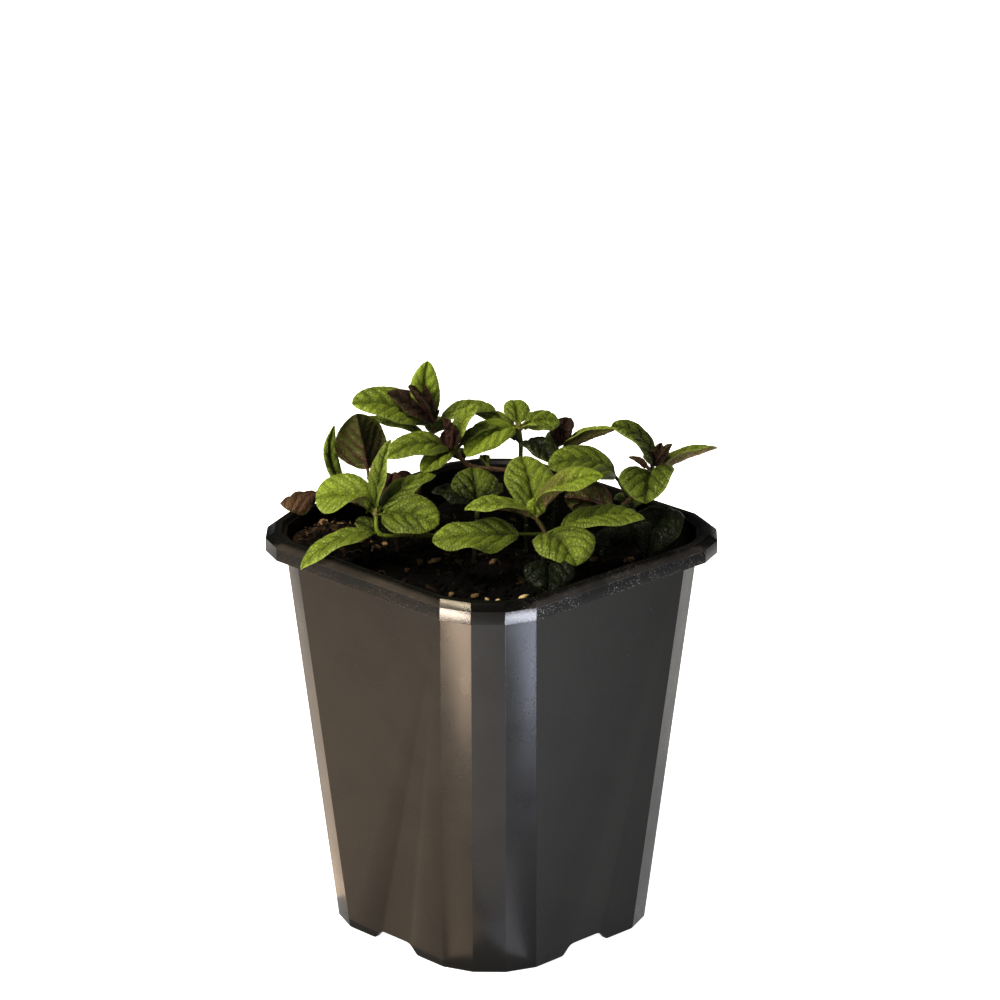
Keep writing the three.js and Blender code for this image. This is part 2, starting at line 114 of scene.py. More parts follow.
SHOOTS = {
    "shoot_tall": Shoot(
        [(-27, 17, 131), (-25, 18, 150), (-21, 21, 167), (-19.5, 22, 171)], 3,
        [Leaf(3, 180, 62, 24, -45, 10.5, 15, -75, 0.85, 0.05, blunt=0.8),
         Leaf(3, 198, 40, 32, 39, 15, 15, -36, 0.6, 0.35, blunt=1.0),
         Leaf(2, 165, 26, 24, 25, 8, 5, 0, 0.4, 0.1),
         Leaf(3, 13, 42, 23, 62, 10, 10, 10, 0.6, 0.15, blunt=0.7),
         Leaf(2, 75, 20, 18, 30, 9, 10, 0, 0.4, 0.1)],
        0.8, (-20.5, 20.5, 173),
        [Leaf(0, 200, 44, 20, 15, 12, 14, -30, 0.35, 0.85, blunt=0.5),
         Leaf(0, 212, 60, 17, 5, 11, 18, -18, 0.3, 0.9, blunt=0.7),
         Leaf(0, 205, 80, 14, 5, 8, 20, -10, 0.2, 1.0, blunt=0.7)]),
    "shoot_runner": Shoot(
        [(12, 4, 131), (11.5, 6, 150), (9, 8, 158.5), (-1, 9, 160), (-8, 10, 161),
         (-12.5, 10, 166)], 3,
        [Leaf(5, 207, 32, 27, 58, 12.5, 12, -22, 0.6, 0.0, blunt=0.7),
         Leaf(5, 230, 6, 17.5, 35, 8.5, 10, -12, 0.75, 0.05, blunt=1.0),
         Leaf(5, 26, 74, 18, 30, 10.5, 25, 0, 0.7, 0.05, blunt=0.6),
         Leaf(5, 30, 45, 19, 50, 7, 15, 0, 0.35, 0.35),
         Leaf(4, 130, 25, 14, 30, 8, 10, 0, 0.4, 0.1),
         Leaf(3, 110, 40, 7, 30, 3.5, 20, 0, 0.85, 0.0)],
        1.0, (-14, 8.5, 167.5),
        [Leaf(0, 215, 78, 12, 5, 9, 35, 0, 0.2, 0.9),
         Leaf(0, 300, 72, 9, -10, 8, 35, 0, 0.0, 1.0, blunt=0.5)]),
    "shoot_back": Shoot(
        [(9, 22, 131), (9.5, 22, 150), (10, 22, 165), (9.5, 23, 169.5)], 2.5,
        [Leaf(3, 100, 54, 13, 40, 9, 10, 0, 0.7, 0.0, blunt=1.0),
         Leaf(3, 153, 25, 18, 30, 8, 8, 0, 0.6, 0.05, blunt=0.7),
         Leaf(3, 219, 20, 25, 64, 12.5, 10, -22, 1.1, 0.0, blunt=0.7),
         Leaf(3, 17, 26, 15, 45, 11, 10, 22, 0.6, 0.05, blunt=0.8),
         Leaf(3, -46, 32, 9, 20, 3.5, 15, 0, 0.9, 0.0),
         Leaf(2, -48, 20, 17, 65, 12, 12, 0, 0.05, 0.0, blunt=0.8),
         Leaf(2, 130, 20, 18, 40, 10, 10, 0, 0.4, 0.1)],
        0.35),
    "shoot_back_right": Shoot(
        [(21, 27, 131), (23, 28, 150), (22.5, 29, 159.5)], 2.5,
        [Leaf(2, -9, 29, 22, 10, 10, 40, -6, 0.9, 0.42),
         Leaf(2, 175, 40, 11, 40, 7, 10, 0, 0.5, 0.2),
         Leaf(2, 85, 30, 16, 50, 9, 10, 0, 0.4, 0.1),
         Leaf(1, 60, 20, 18, 40, 10, 10, 0, 0.4, 0.1)],
        0.6, (24, 30, 162),
        [Leaf(0, 60, 85, 10, 60, 9, 20, 0, 0.2, 0.9),
         Leaf(0, 235, 70, 8, 5, 5, 40, 0, 0.3, 0.8)]),
    "shoot_broad": Shoot(
        [(50, 14, 131), (49, 15, 142), (44, 18, 152)], 3,
        [Leaf(2, 203, 55, 30, 74, 15, 8, -30, 0.52, 0.0, blunt=0.9),
         Leaf(1, 100, 20, 18, 40, 10, 10, 0, 0.35, 0.1)],
        0.3),
    "shoot_right": Shoot(
        [(38, 3, 131), (43, 4, 146), (49, 3, 153), (54.5, 3, 161)], 2.5,
        [Leaf(3, 188, 92, 24, 84, 11, 12, -25, 0.3, 0.0, blunt=1.0),
         Leaf(3, 28, 15, 26, 10, 9.5, 38, -10, 0.75, 0.52),
         Leaf(3, 262, 12, 20, 55, 20, 26, 8, 0.4, 0.0, blunt=1.0),
         Leaf(3, 143, 34, 10.5, 30, 3.2, 25, 0, 0.3, 0.8),
         Leaf(3, 75, 40, 15, 60, 9, 10, 0, 0.4, 0.1),
         Leaf(1, 175, 30, 19, 30, 13, 10, 100, 0.3, 0.55, blunt=0.8)],
        0.8, (56.5, 3, 163),
        [Leaf(0, 10, 60, 9, 5, 6, 45, 0, 0.2, 0.8),
         Leaf(0, 180, 80, 7, 5, 5, 45, 0, 0.1, 1.0),
         Leaf(0, 60, 75, 8, 5, 6, 40, 0, 0.1, 0.9)]),
    "shoot_front": Shoot(
        [(17, -32, 131), (17.5, -31, 142), (18, -30, 150), (15, -28, 155)], 2.5,
        [Leaf(3, 104, 52, 25.5, 30, 17, 12, 0, 0.6, 0.0, blunt=0.8),
         Leaf(3, 192, 31, 25.5, 40, 12.5, 16, -8, 0.7, 0.4, cup=35),
         Leaf(3, 6, 64, 28, 64, 14, 14, 24, 1.0, 0.5, cup=-95),
         Leaf(3, 90, 84, 7, 30, 6.5, 12, 0, 1.0, 0.0, 1, 1.0),
         Leaf(2, 302, 14, 21, 58, 22, 12, 5, 0.55, 0.0, blunt=1.0),
         Leaf(2, 13, 24, 35, 38, 14, 8, 10, 0.62, 0.0, 6, 0.6),
         Leaf(2, 186, 3, 38, 9, 14, 10, -32, 0.58, 0.0, 9, 1.0, wavy=5),
         # painted shade: a tone below 0 paints this low leaf dark, as if in the shadow of the
         # leaves above
         Leaf(1, 30, 15, 28, 35, 11, 10, 0, -0.2, 0.0)],
        0.7),
    "shoot_left": Shoot(
        [(-14, 3, 131), (-17, -3, 139), (-27, -12, 143.5), (-38, -19, 146.5),
         (-39, -17, 152.5)], 2.5,
        [Leaf(4, 165, 35, 22, 50, 18.5, 14, -46, 0.75, 0.3, blunt=1.0, cup=120),
         Leaf(4, 44, 79, 26, 10, 9, 35, 0, 0.5, 0.0),
         Leaf(4, -21, 10, 23, 24, 17, 14, 34, 0.45, 0.0, blunt=1.0),
         Leaf(4, 32, 40, 26, 35, 12, 10, 0, 0.5, 0.0),
         Leaf(3, 204, 6, 30.5, 46, 12, 15, -5, 0.68, 0.0),
         Leaf(3, 163, 34, 9, 20, 6.5, 10, -30, 0.4, 0.0, 1.5, 1.0)],
        0.45, pale=1.1, dark=139),
    "shoot_left_back": Shoot(
        [(-36, 13, 131), (-39, 13, 146), (-42, 12, 156)], 3,
        [Leaf(2, 180, 82, 23, 5, 19.5, 24, 106, 0.42, 0.5, blunt=0.3),
         Leaf(1, 180, 10, 36.5, -105, 5.6, 20, -60, 0.5, 0.0, 14)],
        0.6),
    "shoot_middle": Shoot(
        [(-6, -5, 131), (-5, -4, 143), (-5, -3, 150)], 2,
        [Leaf(2, 99, 63, 15, 30, 16, 10, 0, 0.3, 0.0, blunt=0.6),
         Leaf(2, 44, 50, 13, 40, 11, 10, 0, 0.0, 0.0),
         Leaf(2, 160, 34, 17, 40, 14, 10, 0, 0.05, 0.0),
         Leaf(1, -60, 25, 15, 40, 9, 10, 0, 0.3, 0.1)],
        0.4),
    "shoot_right_low": Shoot(
        [(52, -6, 131), (55, -5, 142), (61, -1, 149)], 2.5,
        # painted shade: tones below 0 paint these low leaves dark, as the shade they lie in at
        # the right of the pot
        [Leaf(2, 245, 8, 24, 75, 19, 10, 0, -0.45, 0.0),
         Leaf(1, 200, 15, 24, 40, 13, 10, 0, -0.25, 0.0)],
        0.5),
    "shoot_front_low": Shoot(
        [(20, -42, 131), (19.5, -43, 139), (19, -42, 144.5)], 2,
        # painted shade: tones below 0 paint these low leaves dark, as the shade under the leaves
        # above them
        [Leaf(2, 270, 10, 16, 70, 17, 12, 0, -0.5, 0.0, blunt=0.8),
         Leaf(1, 60, 25, 12, 40, 9, 10, 0, -0.2, 0.0)],
        0.4),
    "dried_leaf": Shoot(
        [(-32, 4, 131), (-33, 4, 150), (-33, 4, 160)], 2,
        [Leaf(2, 250, -25, 13, 60, 10, 35, 0, 0.1, 0.9, 0.5, 0.7),
         Leaf(2, 320, -10, 10, 80, 8, 35, 0, 0.1, 0.9, 0.5, 0.7)],
        0.9),
}
BUDDED = ("shoot_back", "shoot_left")  # shoots with a green growing tip
DEAD_START = (-54, 20.5, 146)
DEAD_LEAF = Leaf(0, 184, 24, 20, 60, 15, -50, 0, 0.35, 0.3, 6, 1.0)


# Noise

def lattice(corner, seed):
    """A number from 0 to 1 for each whole-number lattice point: its three numbers times three
    large primes, added to the seed and stirred twice."""
    c = corner.astype(np.int64)
    h = c[..., 0] * 73856093 + c[..., 1] * 19349663 + c[..., 2] * 83492791 + seed * 2654435761
    h = (h ^ (h >> 13)) * 1274126177 & 0xFFFFFFFF
    h = (h ^ (h >> 16)) * 668265263 & 0xFFFFFFFF
    return h / 4294967295.0


def noise(points, size, seed):
    """Smooth noise from -1 to 1 with bumps of the given size: the lattice numbers at the eight
    corners round a point, blended by 3f^2 - 2f^3 of its place between them."""
    p = np.asarray(points) / size
    base = np.floor(p)
    f = p - base
    u = f * f * (3 - 2 * f)
    total = 0.0
    for corner in np.ndindex(2, 2, 2):
        weight = np.prod(np.where(np.array(corner) == 1, u, 1 - u), axis=-1)
        total = total + weight * lattice(base + np.array(corner), seed)
    return 2 * total - 1


def fractal(points, size, octaves, seed):
    """Noise plus the same at half the size and half the height, and so on."""
    return sum(noise(points, size / 2 ** k, seed + k) / 2 ** k for k in range(octaves))


# Meshes

def new_object(name, data):
    made = bpy.data.objects.new(name, data)
    bpy.context.scene.collection.objects.link(made)
    return made


class Pile:
    """Vertices, faces and vertex attributes of one piece, added up from its surfaces."""

    def __init__(self):
        self.points, self.faces, self.looks, self.count = [], [], {}, 0

    def add(self, points, faces, **looks):
        """Adds a surface whose faces count its own points, and its attributes by name."""
        points = points.reshape(-1, 3)
        self.points.append(points)
        self.faces.extend((f + self.count).tolist() for f in faces)
        for name, value in looks.items():
            self.looks.setdefault(name, []).append(value.reshape(len(points), -1))
        self.count += len(points)

    def build(self, name, material, smooth=True):
        """The piece as a mesh object in metres, with its attributes as colours."""
        mesh = bpy.data.meshes.new(name)
        faces = [f for block in self.faces for f in block]
        mesh.from_pydata((np.concatenate(self.points) * MM).tolist(), [], faces)
        for key, blocks in self.looks.items():
            layer = mesh.attributes.new(key, "FLOAT_COLOR", "POINT")
            layer.data.foreach_set("color", np.concatenate(blocks).astype(np.float32).ravel())
        mesh.polygons.foreach_set("use_smooth", np.full(len(faces), smooth))
        mesh.materials.append(material)
        mesh.update()
        return new_object(name, mesh)


def ring_faces(rows, ring):
    """Faces of a closed tube of the given rows of points, ring points each: four-sided walls
    between neighbouring rows, and a many-sided face over the first and the last."""
    i, j = np.meshgrid(np.arange(rows - 1), np.arange(ring), indexing="ij")
    k = (j + 1) % ring
    walls = np.stack([i * ring + j, i * ring + k, (i + 1) * ring + k, (i + 1) * ring + j], -1)
    first = np.arange(ring)[::-1][None]
    last = (rows - 1) * ring + np.arange(ring)[None]
    return [walls.reshape(-1, 4), first, last]


def unit(v):
    """Each vector of an array at length 1."""
    return v / np.linalg.norm(v, axis=-1, keepdims=True)


def curve(points, count):
    """A smooth line through the points, count places long: between two points a cubic whose
    end slopes come from the neighbours, spaced by the square root of their distances."""
    p = np.array(points, float)
    p = np.concatenate([[2 * p[0] - p[1]], p, [2 * p[-1] - p[-2]]])
    gap = np.sqrt(np.linalg.norm(np.diff(p, axis=0), axis=1))[:, None]
    before, here, after = gap[:-2], gap[1:-1], gap[2:]
    a, b, c, d = p[:-3], p[1:-2], p[2:-1], p[3:]
    start = ((b - a) / before - (c - a) / (before + here) + (c - b) / here) * here
    end = ((c - b) / here - (d - b) / (here + after) + (d - c) / after) * here
    place = np.linspace(0, len(points) - 1, count)
    k = np.minimum(place.astype(int), len(points) - 2)
    t = (place - k)[:, None]
    return (b[k] * (2 * t ** 3 - 3 * t ** 2 + 1) + start[k] * (t ** 3 - 2 * t ** 2 + t)
            + c[k] * (3 * t ** 2 - 2 * t ** 3) + end[k] * (t ** 3 - t ** 2))


def sections(path):
    """Two directions across a path at each of its places, carried along it without twist."""
    tangent = unit(np.gradient(path, axis=0))
    side = np.empty_like(path)
    side[0] = unit(np.cross(tangent[0], (0.3, 1.0, 0.1)))
    for i in range(1, len(path)):
        side[i] = unit(side[i - 1] - tangent[i] * (side[i - 1] @ tangent[i]))
    return side, np.cross(tangent, side)


def tube(path, turn, radius):
    """Rings of points round a path, at the angles turn: radius cos(turn) along one way across
    it and radius sin(turn) along the other."""
    side, back = sections(path)
    return path[:, None] + radius * (np.cos(turn)[:, None] * side[:, None]
                                     + np.sin(turn)[:, None] * back[:, None])


def to_pot(points):
    """Points of the plant's frame in the pot's: turned about the upright axis."""
    c, s = np.cos(rad(PLANT_TURN)), np.sin(rad(PLANT_TURN))
    x, y, z = np.moveaxis(points, -1, 0)
    return np.stack([c * x - s * y, s * x + c * y, z], -1)


# Leaves

def outline(s, blunt):
    """Half width along a leaf from 0 at the base to 1 at the widest and 0 at the tip: a power
    of a sine whose peak is drawn towards the base, and less so on a blunt leaf."""
    s = np.clip(s, 0, 1)
    return np.sin(np.pi * s ** (0.78 + 0.14 * blunt)) ** (0.72 - 0.22 * blunt)


LOWER_FACE = np.array([0, 0, 1, 0])  # what the tint of a lower face has more


class Blade:
    """The grid of one leaf. way is mm along it from the stem, s the share of the blade from 0 at
    its base to 1 at its tip, t the share of the half width from -1 to 1, and x and y are mm
    across and along the blade. spread is 0 on the stalk, and body is 1 inside the blade and
    falls to 0 at its margin. flat is a place of its own in the noise."""

    def __init__(self, leaf, stalk, seed, rows, columns):
        self.leaf, self.seed = leaf, seed
        self.size = leaf.length - stalk
        self.way = self.rows_along(stalk, rows)
        self.s = np.clip((self.way - stalk) / self.size, 0, 1)[:, None]
        u = np.linspace(-1, 1, columns + 1)[None]
        self.t = np.sign(u) * (0.45 * np.abs(u) + 0.55 * np.sin(np.pi / 2 * np.abs(u)))
        self.phase = np.random.default_rng(seed).uniform(0, 1, 5)
        self.stalked = 1 - np.clip(self.s / STALK_END, 0, 1)
        self.spread = 1 - self.stalked
        self.half = self.half_width()
        self.x = self.half * self.t
        self.y = self.s * self.size + 0 * self.x
        self.flat = np.stack([self.x + 50 * self.phase[2], self.y, 0 * self.x + seed], -1)
        self.count = self.vein_count()
        self.between = np.abs(np.sin(np.pi * self.count))
        self.body = (1 - np.abs(self.t) ** 6) * np.sin(
            np.pi * np.clip(self.s, 0.001, 1)) ** 0.5 * self.spread

    def rows_along(self, stalk, rows):
        """Rows along the blade, closer at both ends, and six more on the stalk."""
        share = np.linspace(0, 1, rows)
        share = 0.5 * share + 0.5 * (1 - np.cos(np.pi * share)) / 2
        way = stalk + self.size * share
        if stalk > 0:
            way = np.concatenate([np.linspace(0, stalk, 7)[:-1], way])
        return way

    def half_width(self):
        """The outline in mm with small teeth, and never narrower than the stalk."""
        s = self.s
        teeth = 0.5 - np.abs((s * self.size / TOOTH + self.phase[0]) % 1 - 0.5)
        half = self.leaf.width / 2 * outline(s, self.leaf.blunt)
        half = half + TOOTH_DEPTH * teeth * np.sin(np.pi * s) ** 0.5
        return np.maximum(half, 0.5 - 0.3 * s)

    def vein_count(self):
        """The number of side veins from the base on, where a vein runs at each whole number.
        Veins curve forward, y = y0 + lean |x| + arch x^2 / half width, and wander a little, and
        those of the two halves leave the midrib a little apart."""
        x, y = self.x, self.y
        pairs = np.clip(self.size / VEIN_GAP, 3, 6)
        count = pairs * (y - VEIN_LEAN * np.abs(x)
                         - VEIN_ARCH * x ** 2 / (self.leaf.width / 2)) / self.size
        count = count + 0.22 * np.tanh(x / 0.4) + self.phase[4]
        return count + 0.16 * noise(self.flat, 4.0, self.seed + 3)

    def lift(self):
        """Height over the folded plane in mm: a slight dome in each half, puffs between the
        side veins, less a groove along the midrib, plus waves of the margin and lumps of two
        sizes, and a rim that rolls down."""
        leaf, s, t, x = self.leaf, self.s, self.t, self.x
        scale = np.clip(leaf.width / 14, 0.25, 1.25)
        dome = 0.1 * self.half * np.sin(np.pi * np.abs(t)) * self.spread
        puffs = PUFF * self.between ** 0.6 * np.clip(np.abs(x) / 1.3, 0, 1) * self.body * scale
        groove = GROOVE * np.exp(-(x / 0.6) ** 2) * (1 - 0.7 * s) * self.spread
        swing = 2 * np.pi * (1.6 * s + self.phase[1] + 0.37 * (t > 0))
        wave = leaf.wavy * (0.06 - 0.03 * leaf.blunt) * leaf.width * np.abs(t) ** 3 * np.sin(
            swing) * np.sin(np.pi * s)
        rolled = -0.5 * scale * np.clip((np.abs(t) - 0.8) / 0.2, 0, 1) ** 2 * np.sin(np.pi * s)
        lump = (0.42 * fractal(self.flat, 3.4, 2, self.seed)
                + 0.1 * noise(self.flat, 0.95, self.seed + 5)) * self.body * scale
        return dome + puffs - groove + wave + lump + rolled

    def thickness(self):
        """Thickness in mm, thinner towards the tip and the margin, and 1 mm on the stalk."""
        edge = np.sqrt(np.clip(1 - np.abs(self.t) ** 6, 0, 1))
        blade = BLADE * (1 - 0.4 * self.s) * (0.35 + 0.65 * edge)
        return blade * self.spread + edge * self.stalked

    def rib(self):
        """How far the midrib and the side veins stand out below, in mm."""
        midrib = 0.45 * np.exp(-(self.x / 0.45) ** 2) * (1 - self.s) ** 0.7
        side = 0.16 * np.exp(-(self.between / 0.25) ** 2) * self.body
        return (midrib + side) * self.spread

    def tint(self):
        """Tone, purple, 0 for the upper face, and the pale margin, for each place."""
        leaf, s = self.leaf, self.s
        shade = 0.14 * fractal(self.flat, 6.0, 2, self.seed + 9)
        purple = np.clip(leaf.purple * (1.15 - 0.9 * s * (1 - leaf.purple)) + shade, 0, 1)
        margin = np.clip((np.abs(self.x) - self.half + 0.55) / 0.5, 0, 1) * self.spread
        # painted shade towards the base of the blade and painted light towards its tip: the tone
        # rises by 0.3 from base to tip
        tone = np.clip(leaf.tone + shade + 0.3 * (s - 0.55) * self.spread, -1, 1.2)
        return np.stack([tone, purple, 0 * self.x, margin], -1)


def midrib(leaf, start, way):
    """The midrib, an arc that leaves the stem at the azimuth and pitch and droops evenly, and
    the directions across the blade and out of its upper face."""
    first = rad(leaf.pitch)
    bend = rad(leaf.droop)
    angle = first - bend * way / leaf.length
    out = np.array([np.cos(rad(leaf.azimuth)), np.sin(rad(leaf.azimuth)), 0])
    left = np.array([-out[1], out[0], 0])
    up = np.array([0, 0, 1.0])
    forward = leaf.length * (np.sin(first) - np.sin(angle)) / bend
    rise = leaf.length * (np.cos(angle) - np.cos(first)) / bend
    middle = np.array(start) + forward[:, None] * out + rise[:, None] * up
    normal = -np.sin(angle)[:, None] * out + np.cos(angle)[:, None] * up
    roll = rad(leaf.roll)
    across = left * np.cos(roll) + normal * np.sin(roll)
    over = normal * np.cos(roll) - left * np.sin(roll)
    return middle[:, None], across[:, None], over[:, None]


def leaf_surface(leaf, start, stalk, seed, rows=LEAF_ROWS, columns=LEAF_COLUMNS):
    """A leaf as a flat tube: each section along its midrib runs over the upper face and back
    under the lower, and the halves rise from the midrib by the fold. Returns points, leaf map
    (mm across, mm along, count of side veins, puff from 0 to 1) and tint (tone, purple, lower
    face, margin)."""
    blade = Blade(leaf, stalk, seed, rows, columns)
    middle, across, over = midrib(leaf, start, blade.way)
    cupped = abs(leaf.cup) * (1 - blade.s) ** 2 * (blade.t * leaf.cup > 0)
    fold = rad(leaf.fold + cupped) * blade.spread
    tilt = (fold * np.tanh(blade.t / 0.12))[..., None]
    outward = (blade.x * np.cos(fold))[..., None]
    upward = (blade.half * np.abs(blade.t) ** 1.15 * np.sin(fold))[..., None]
    plane = middle + across * outward + over * upward
    facing = over * np.cos(tilt) - across * np.sin(tilt)
    lift, thick = blade.lift(), blade.thickness()
    upper = plane + facing * (lift + thick / 2)[..., None]
    lower = plane + facing * (lift - thick / 2 - blade.rib())[..., None]
    where = np.stack([blade.x, blade.y, blade.count, blade.between * blade.body], -1)
    tint = blade.tint()
    return (np.concatenate([upper, lower[:, ::-1]], 1),
            np.concatenate([where, where[:, ::-1]], 1),
            np.concatenate([tint, (tint + LOWER_FACE)[:, ::-1]], 1))


def add_leaf(pile, leaf, start, stalk, seed, **grid):
    points, where, tint = leaf_surface(leaf, start, stalk, seed, **grid)
    pile.add(to_pot(points), ring_faces(*points.shape[:2]), leaf_map=where, tint=tint)
    return points


def stem_surface(shoot, seed):
    """A square stem with rounded corners, along the line through its points from inside the
    soil to its tip: it thins by 30 percent, and swells a little where leaves leave it. Over the
    10 mm below the height dark its colour is painted deeper and less purple, as the shade low
    among the leaves. Its leaf map keeps it clear of veins."""
    x, y, z = shoot.stem[0]
    path = curve([(x, y, z - FOOT_DEPTH), *shoot.stem], 12 * len(shoot.stem) + 1)
    turn = np.linspace(0, 2 * np.pi, 17)[:-1]
    square = (np.abs(np.cos(turn)) ** 4 + np.abs(np.sin(turn)) ** 4) ** -0.25
    place = np.linspace(0, 1, len(path))
    knots = np.linspace(0, 1, len(shoot.stem) + 1)[2:]
    swell = 1 + sum(0.22 * np.exp(-((place - k) / 0.025) ** 2) for k in knots)
    radius = STEM_WIDTH / 2 * (1 - 0.3 * place) * swell
    points = tube(path, turn, (radius[:, None] * square)[..., None])
    where = np.stack(np.broadcast_arrays(turn / np.pi * 2, place[:, None] * 40, 0.5, 1), -1)
    shade = 0.25 * noise(points, 4.0, seed)
    # painted shade: the stem darkens towards the soil, where the leaves above shade it
    painted_shade = np.clip((shoot.dark - points[..., 2]) / 10, 0, 1)
    purple = np.clip(shoot.ruddy + shade, 0, 1) * (1 - painted_shade)
    tint = np.stack([shoot.pale + shade - 1.5 * painted_shade, purple, 0 * shade, 0 * shade], -1)
    return points, where, tint


def hairs(roots, lean, lengths):
    """Fine hairs, each a thin three-sided spike from a root along a lean."""
    along = unit(lean)
    side = unit(np.cross(along, (0.31, 0.57, 0.76)))
    back = np.cross(along, side)
    turn = np.array([0, 2.1, 4.2])
    ring = (np.cos(turn)[None, :, None] * side[:, None]
            + np.sin(turn)[None, :, None] * back[:, None]) * HAIR
    tip = roots + along * lengths[:, None]
    points = np.concatenate([roots[:, None] + ring, tip[:, None]], 1)
    base = 4 * np.arange(len(roots))[:, None, None]
    spike = np.array([[0, 2, 1], [0, 1, 3], [1, 2, 3], [2, 0, 3]])
    return points.reshape(-1, 3), [(base + spike).reshape(-1, 3)]


def add_hairs(pile, roots, lean, lengths, tint):
    points, faces = hairs(roots, lean, lengths)
    colours = np.repeat(np.broadcast_to(tint, (len(roots), 4)), 4, axis=0)
    pile.add(to_pot(points), faces, leaf_map=np.zeros((len(points), 4)), tint=colours)


def leaf_fuzz(pile, points, leaf, draw):
    """Short pale hairs that stand out from a leaf's margins."""
    rows, ring = points.shape[:2]
    columns = ring // 2
    pick = draw.integers(8, rows - 2, LEAF_HAIRS)
    right = draw.random(LEAF_HAIRS) < 0.5
    edge = np.where(right[:, None], points[pick, columns - 1], points[pick, 0])
    middle = points[pick, columns // 2]
    lean = unit(edge - middle) + 0.5 * draw.normal(size=(LEAF_HAIRS, 3))
    add_hairs(pile, edge, lean, draw.uniform(0.25, 0.6, LEAF_HAIRS),
              (min(1.0, leaf.tone + 0.3), leaf.purple * 0.5, 0, 1))


def stem_fuzz(pile, points, ruddy, draw):
    """Short pale hairs all over a stem."""
    rows, ring = points.shape[:2]
    count = STEM_HAIRS * rows
    row, at = draw.integers(6, rows, count), draw.integers(0, ring, count)
    root = points[row, at]
    lean = unit(root - points[row].mean(1)) + 0.4 * draw.normal(size=(count, 3))
    add_hairs(pile, root, lean, draw.uniform(0.25, 0.55, count), (0.8, 0.5 * ruddy, 0, 1))


def bud_leaves(purple, tone, count, size, draw):
    """The small leaves that close up round a growing tip, about 137 degrees from one to the
    next."""
    for k in range(count):
        lean = 50 + 35 * k / count
        yield Leaf(0, 137 * k + draw.uniform(0, 30), lean, size * (1.1 - 0.5 * k / count),
                   draw.uniform(-25, 5), size * 0.42, 40, 0, tone, purple)


def make_young_tip(name, shoot, seed, draw, material):
    """The purple-brown leaves at a shoot's tip, as a piece of their own."""
    pile = Pile()
    for k, leaf in enumerate(shoot.young):
        surface = add_leaf(pile, leaf, shoot.tip, 0, seed + 20 + k)
        leaf_fuzz(pile, surface, leaf, draw)
    for leaf in bud_leaves(0.9, 0.2, 6, 4.5, draw):
        add_leaf(pile, leaf, shoot.tip, 0, seed + 40, rows=16, columns=10)
    tip = pile.build(f"{name}_young", material)
    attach(tip, "root")
    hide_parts(f"{name}_tip")


def make_shoot(name, shoot, material, young_material):
    """A leafy stem, and the young leaves at its tip where they are a piece of their own."""
    seed = 17 * (1 + sorted(SHOOTS).index(name))
    draw = np.random.default_rng(seed)
    pile = Pile()
    points, where, tint = stem_surface(shoot, seed)
    pile.add(to_pot(points), ring_faces(*points.shape[:2]), leaf_map=where, tint=tint)
    stem_fuzz(pile, points, shoot.ruddy, draw)
    for k, leaf in enumerate(shoot.leaves):
        stalk = shoot.stalk if leaf.stalk is None else leaf.stalk
        surface = add_leaf(pile, leaf, shoot.stem[leaf.joint], stalk, seed + k)
        leaf_fuzz(pile, surface, leaf, draw)
    if name in BUDDED:
        for leaf in bud_leaves(0.2, 0.85, 5, 3.4, draw):
            add_leaf(pile, leaf, shoot.stem[-1], 0, seed + 40, rows=14, columns=8)
    whole = pile.build(f"{name}_leaves", material)
    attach(whole, "root")
    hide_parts(name)
    if shoot.young:
        make_young_tip(name, shoot, seed, draw, young_material)


def make_dead_leaf(material):
    """The curled brown leaf that lies over the rim."""
    pile = Pile()
    add_leaf(pile, DEAD_LEAF, DEAD_START, DEAD_LEAF.stalk, 77)
    dead = pile.build("dead_leaf_over_rim", material)
    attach(dead, "root")
    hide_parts("dead_leaf")


# Soil

def inner_reach(turn, z):
    """Distance of the pot's inner wall from its axis at an angle and a height: the nearest of
    the sixteen flat sides, a side facing phi at distance h being h / cos(turn - phi) away."""
    half = BODY_BASE + SLOPE * z - WALL - SOIL_GAP
    cut = INNER_FACET * np.sin(rad(np.array(FACET_TURNS))).sum()
    low = half - cut
    first = rad(FACET_TURNS[0])
    step = INNER_FACET * np.array([-np.sin(first), np.cos(first)])
    flats = [(0, half)]
    flats.append((FACET_TURNS[0], half * np.cos(first) + low * np.sin(first)))
    flats.append((FACET_TURNS[1], (half + step[0] + low + step[1]) * np.sqrt(0.5)))
    quarter = (turn + np.pi / 4) % (np.pi / 2) - np.pi / 4
    near = np.abs(quarter)
    return np.min([h / np.cos(near - rad(phi)) for phi, h in flats], axis=0)


def bell(x, y, centre, spread):
    """1 at the centre, falling smoothly round it: exp(-distance^2 / spread)."""
    return np.exp(-((x - centre[0]) ** 2 + (y - centre[1]) ** 2) / spread)


def soil_height(x, y):
    """The solid's slow swell and its fall towards the walls, a low heap in the left corner,
    and crumbs of two sizes."""
    swell = 1.2 * np.sin(x / 13) * np.cos(y / 11 + 1) + 0.7 * np.sin((x + 2 * y) / 9)
    heap = HEAP_HEIGHT * bell(x, y, HEAP, HEAP_SPREAD)
    wall = np.maximum(np.abs(x), np.abs(y)) / BODY_TOP
    flat = np.stack([x, y, 0 * x], -1)
    crumbs = 0.9 * fractal(flat, 7.0, 2, 3) + 0.75 * np.abs(fractal(flat, 2.4, 3, 11))
    return SOIL_LEVEL + swell + crumbs + heap - 3 * wall ** 6


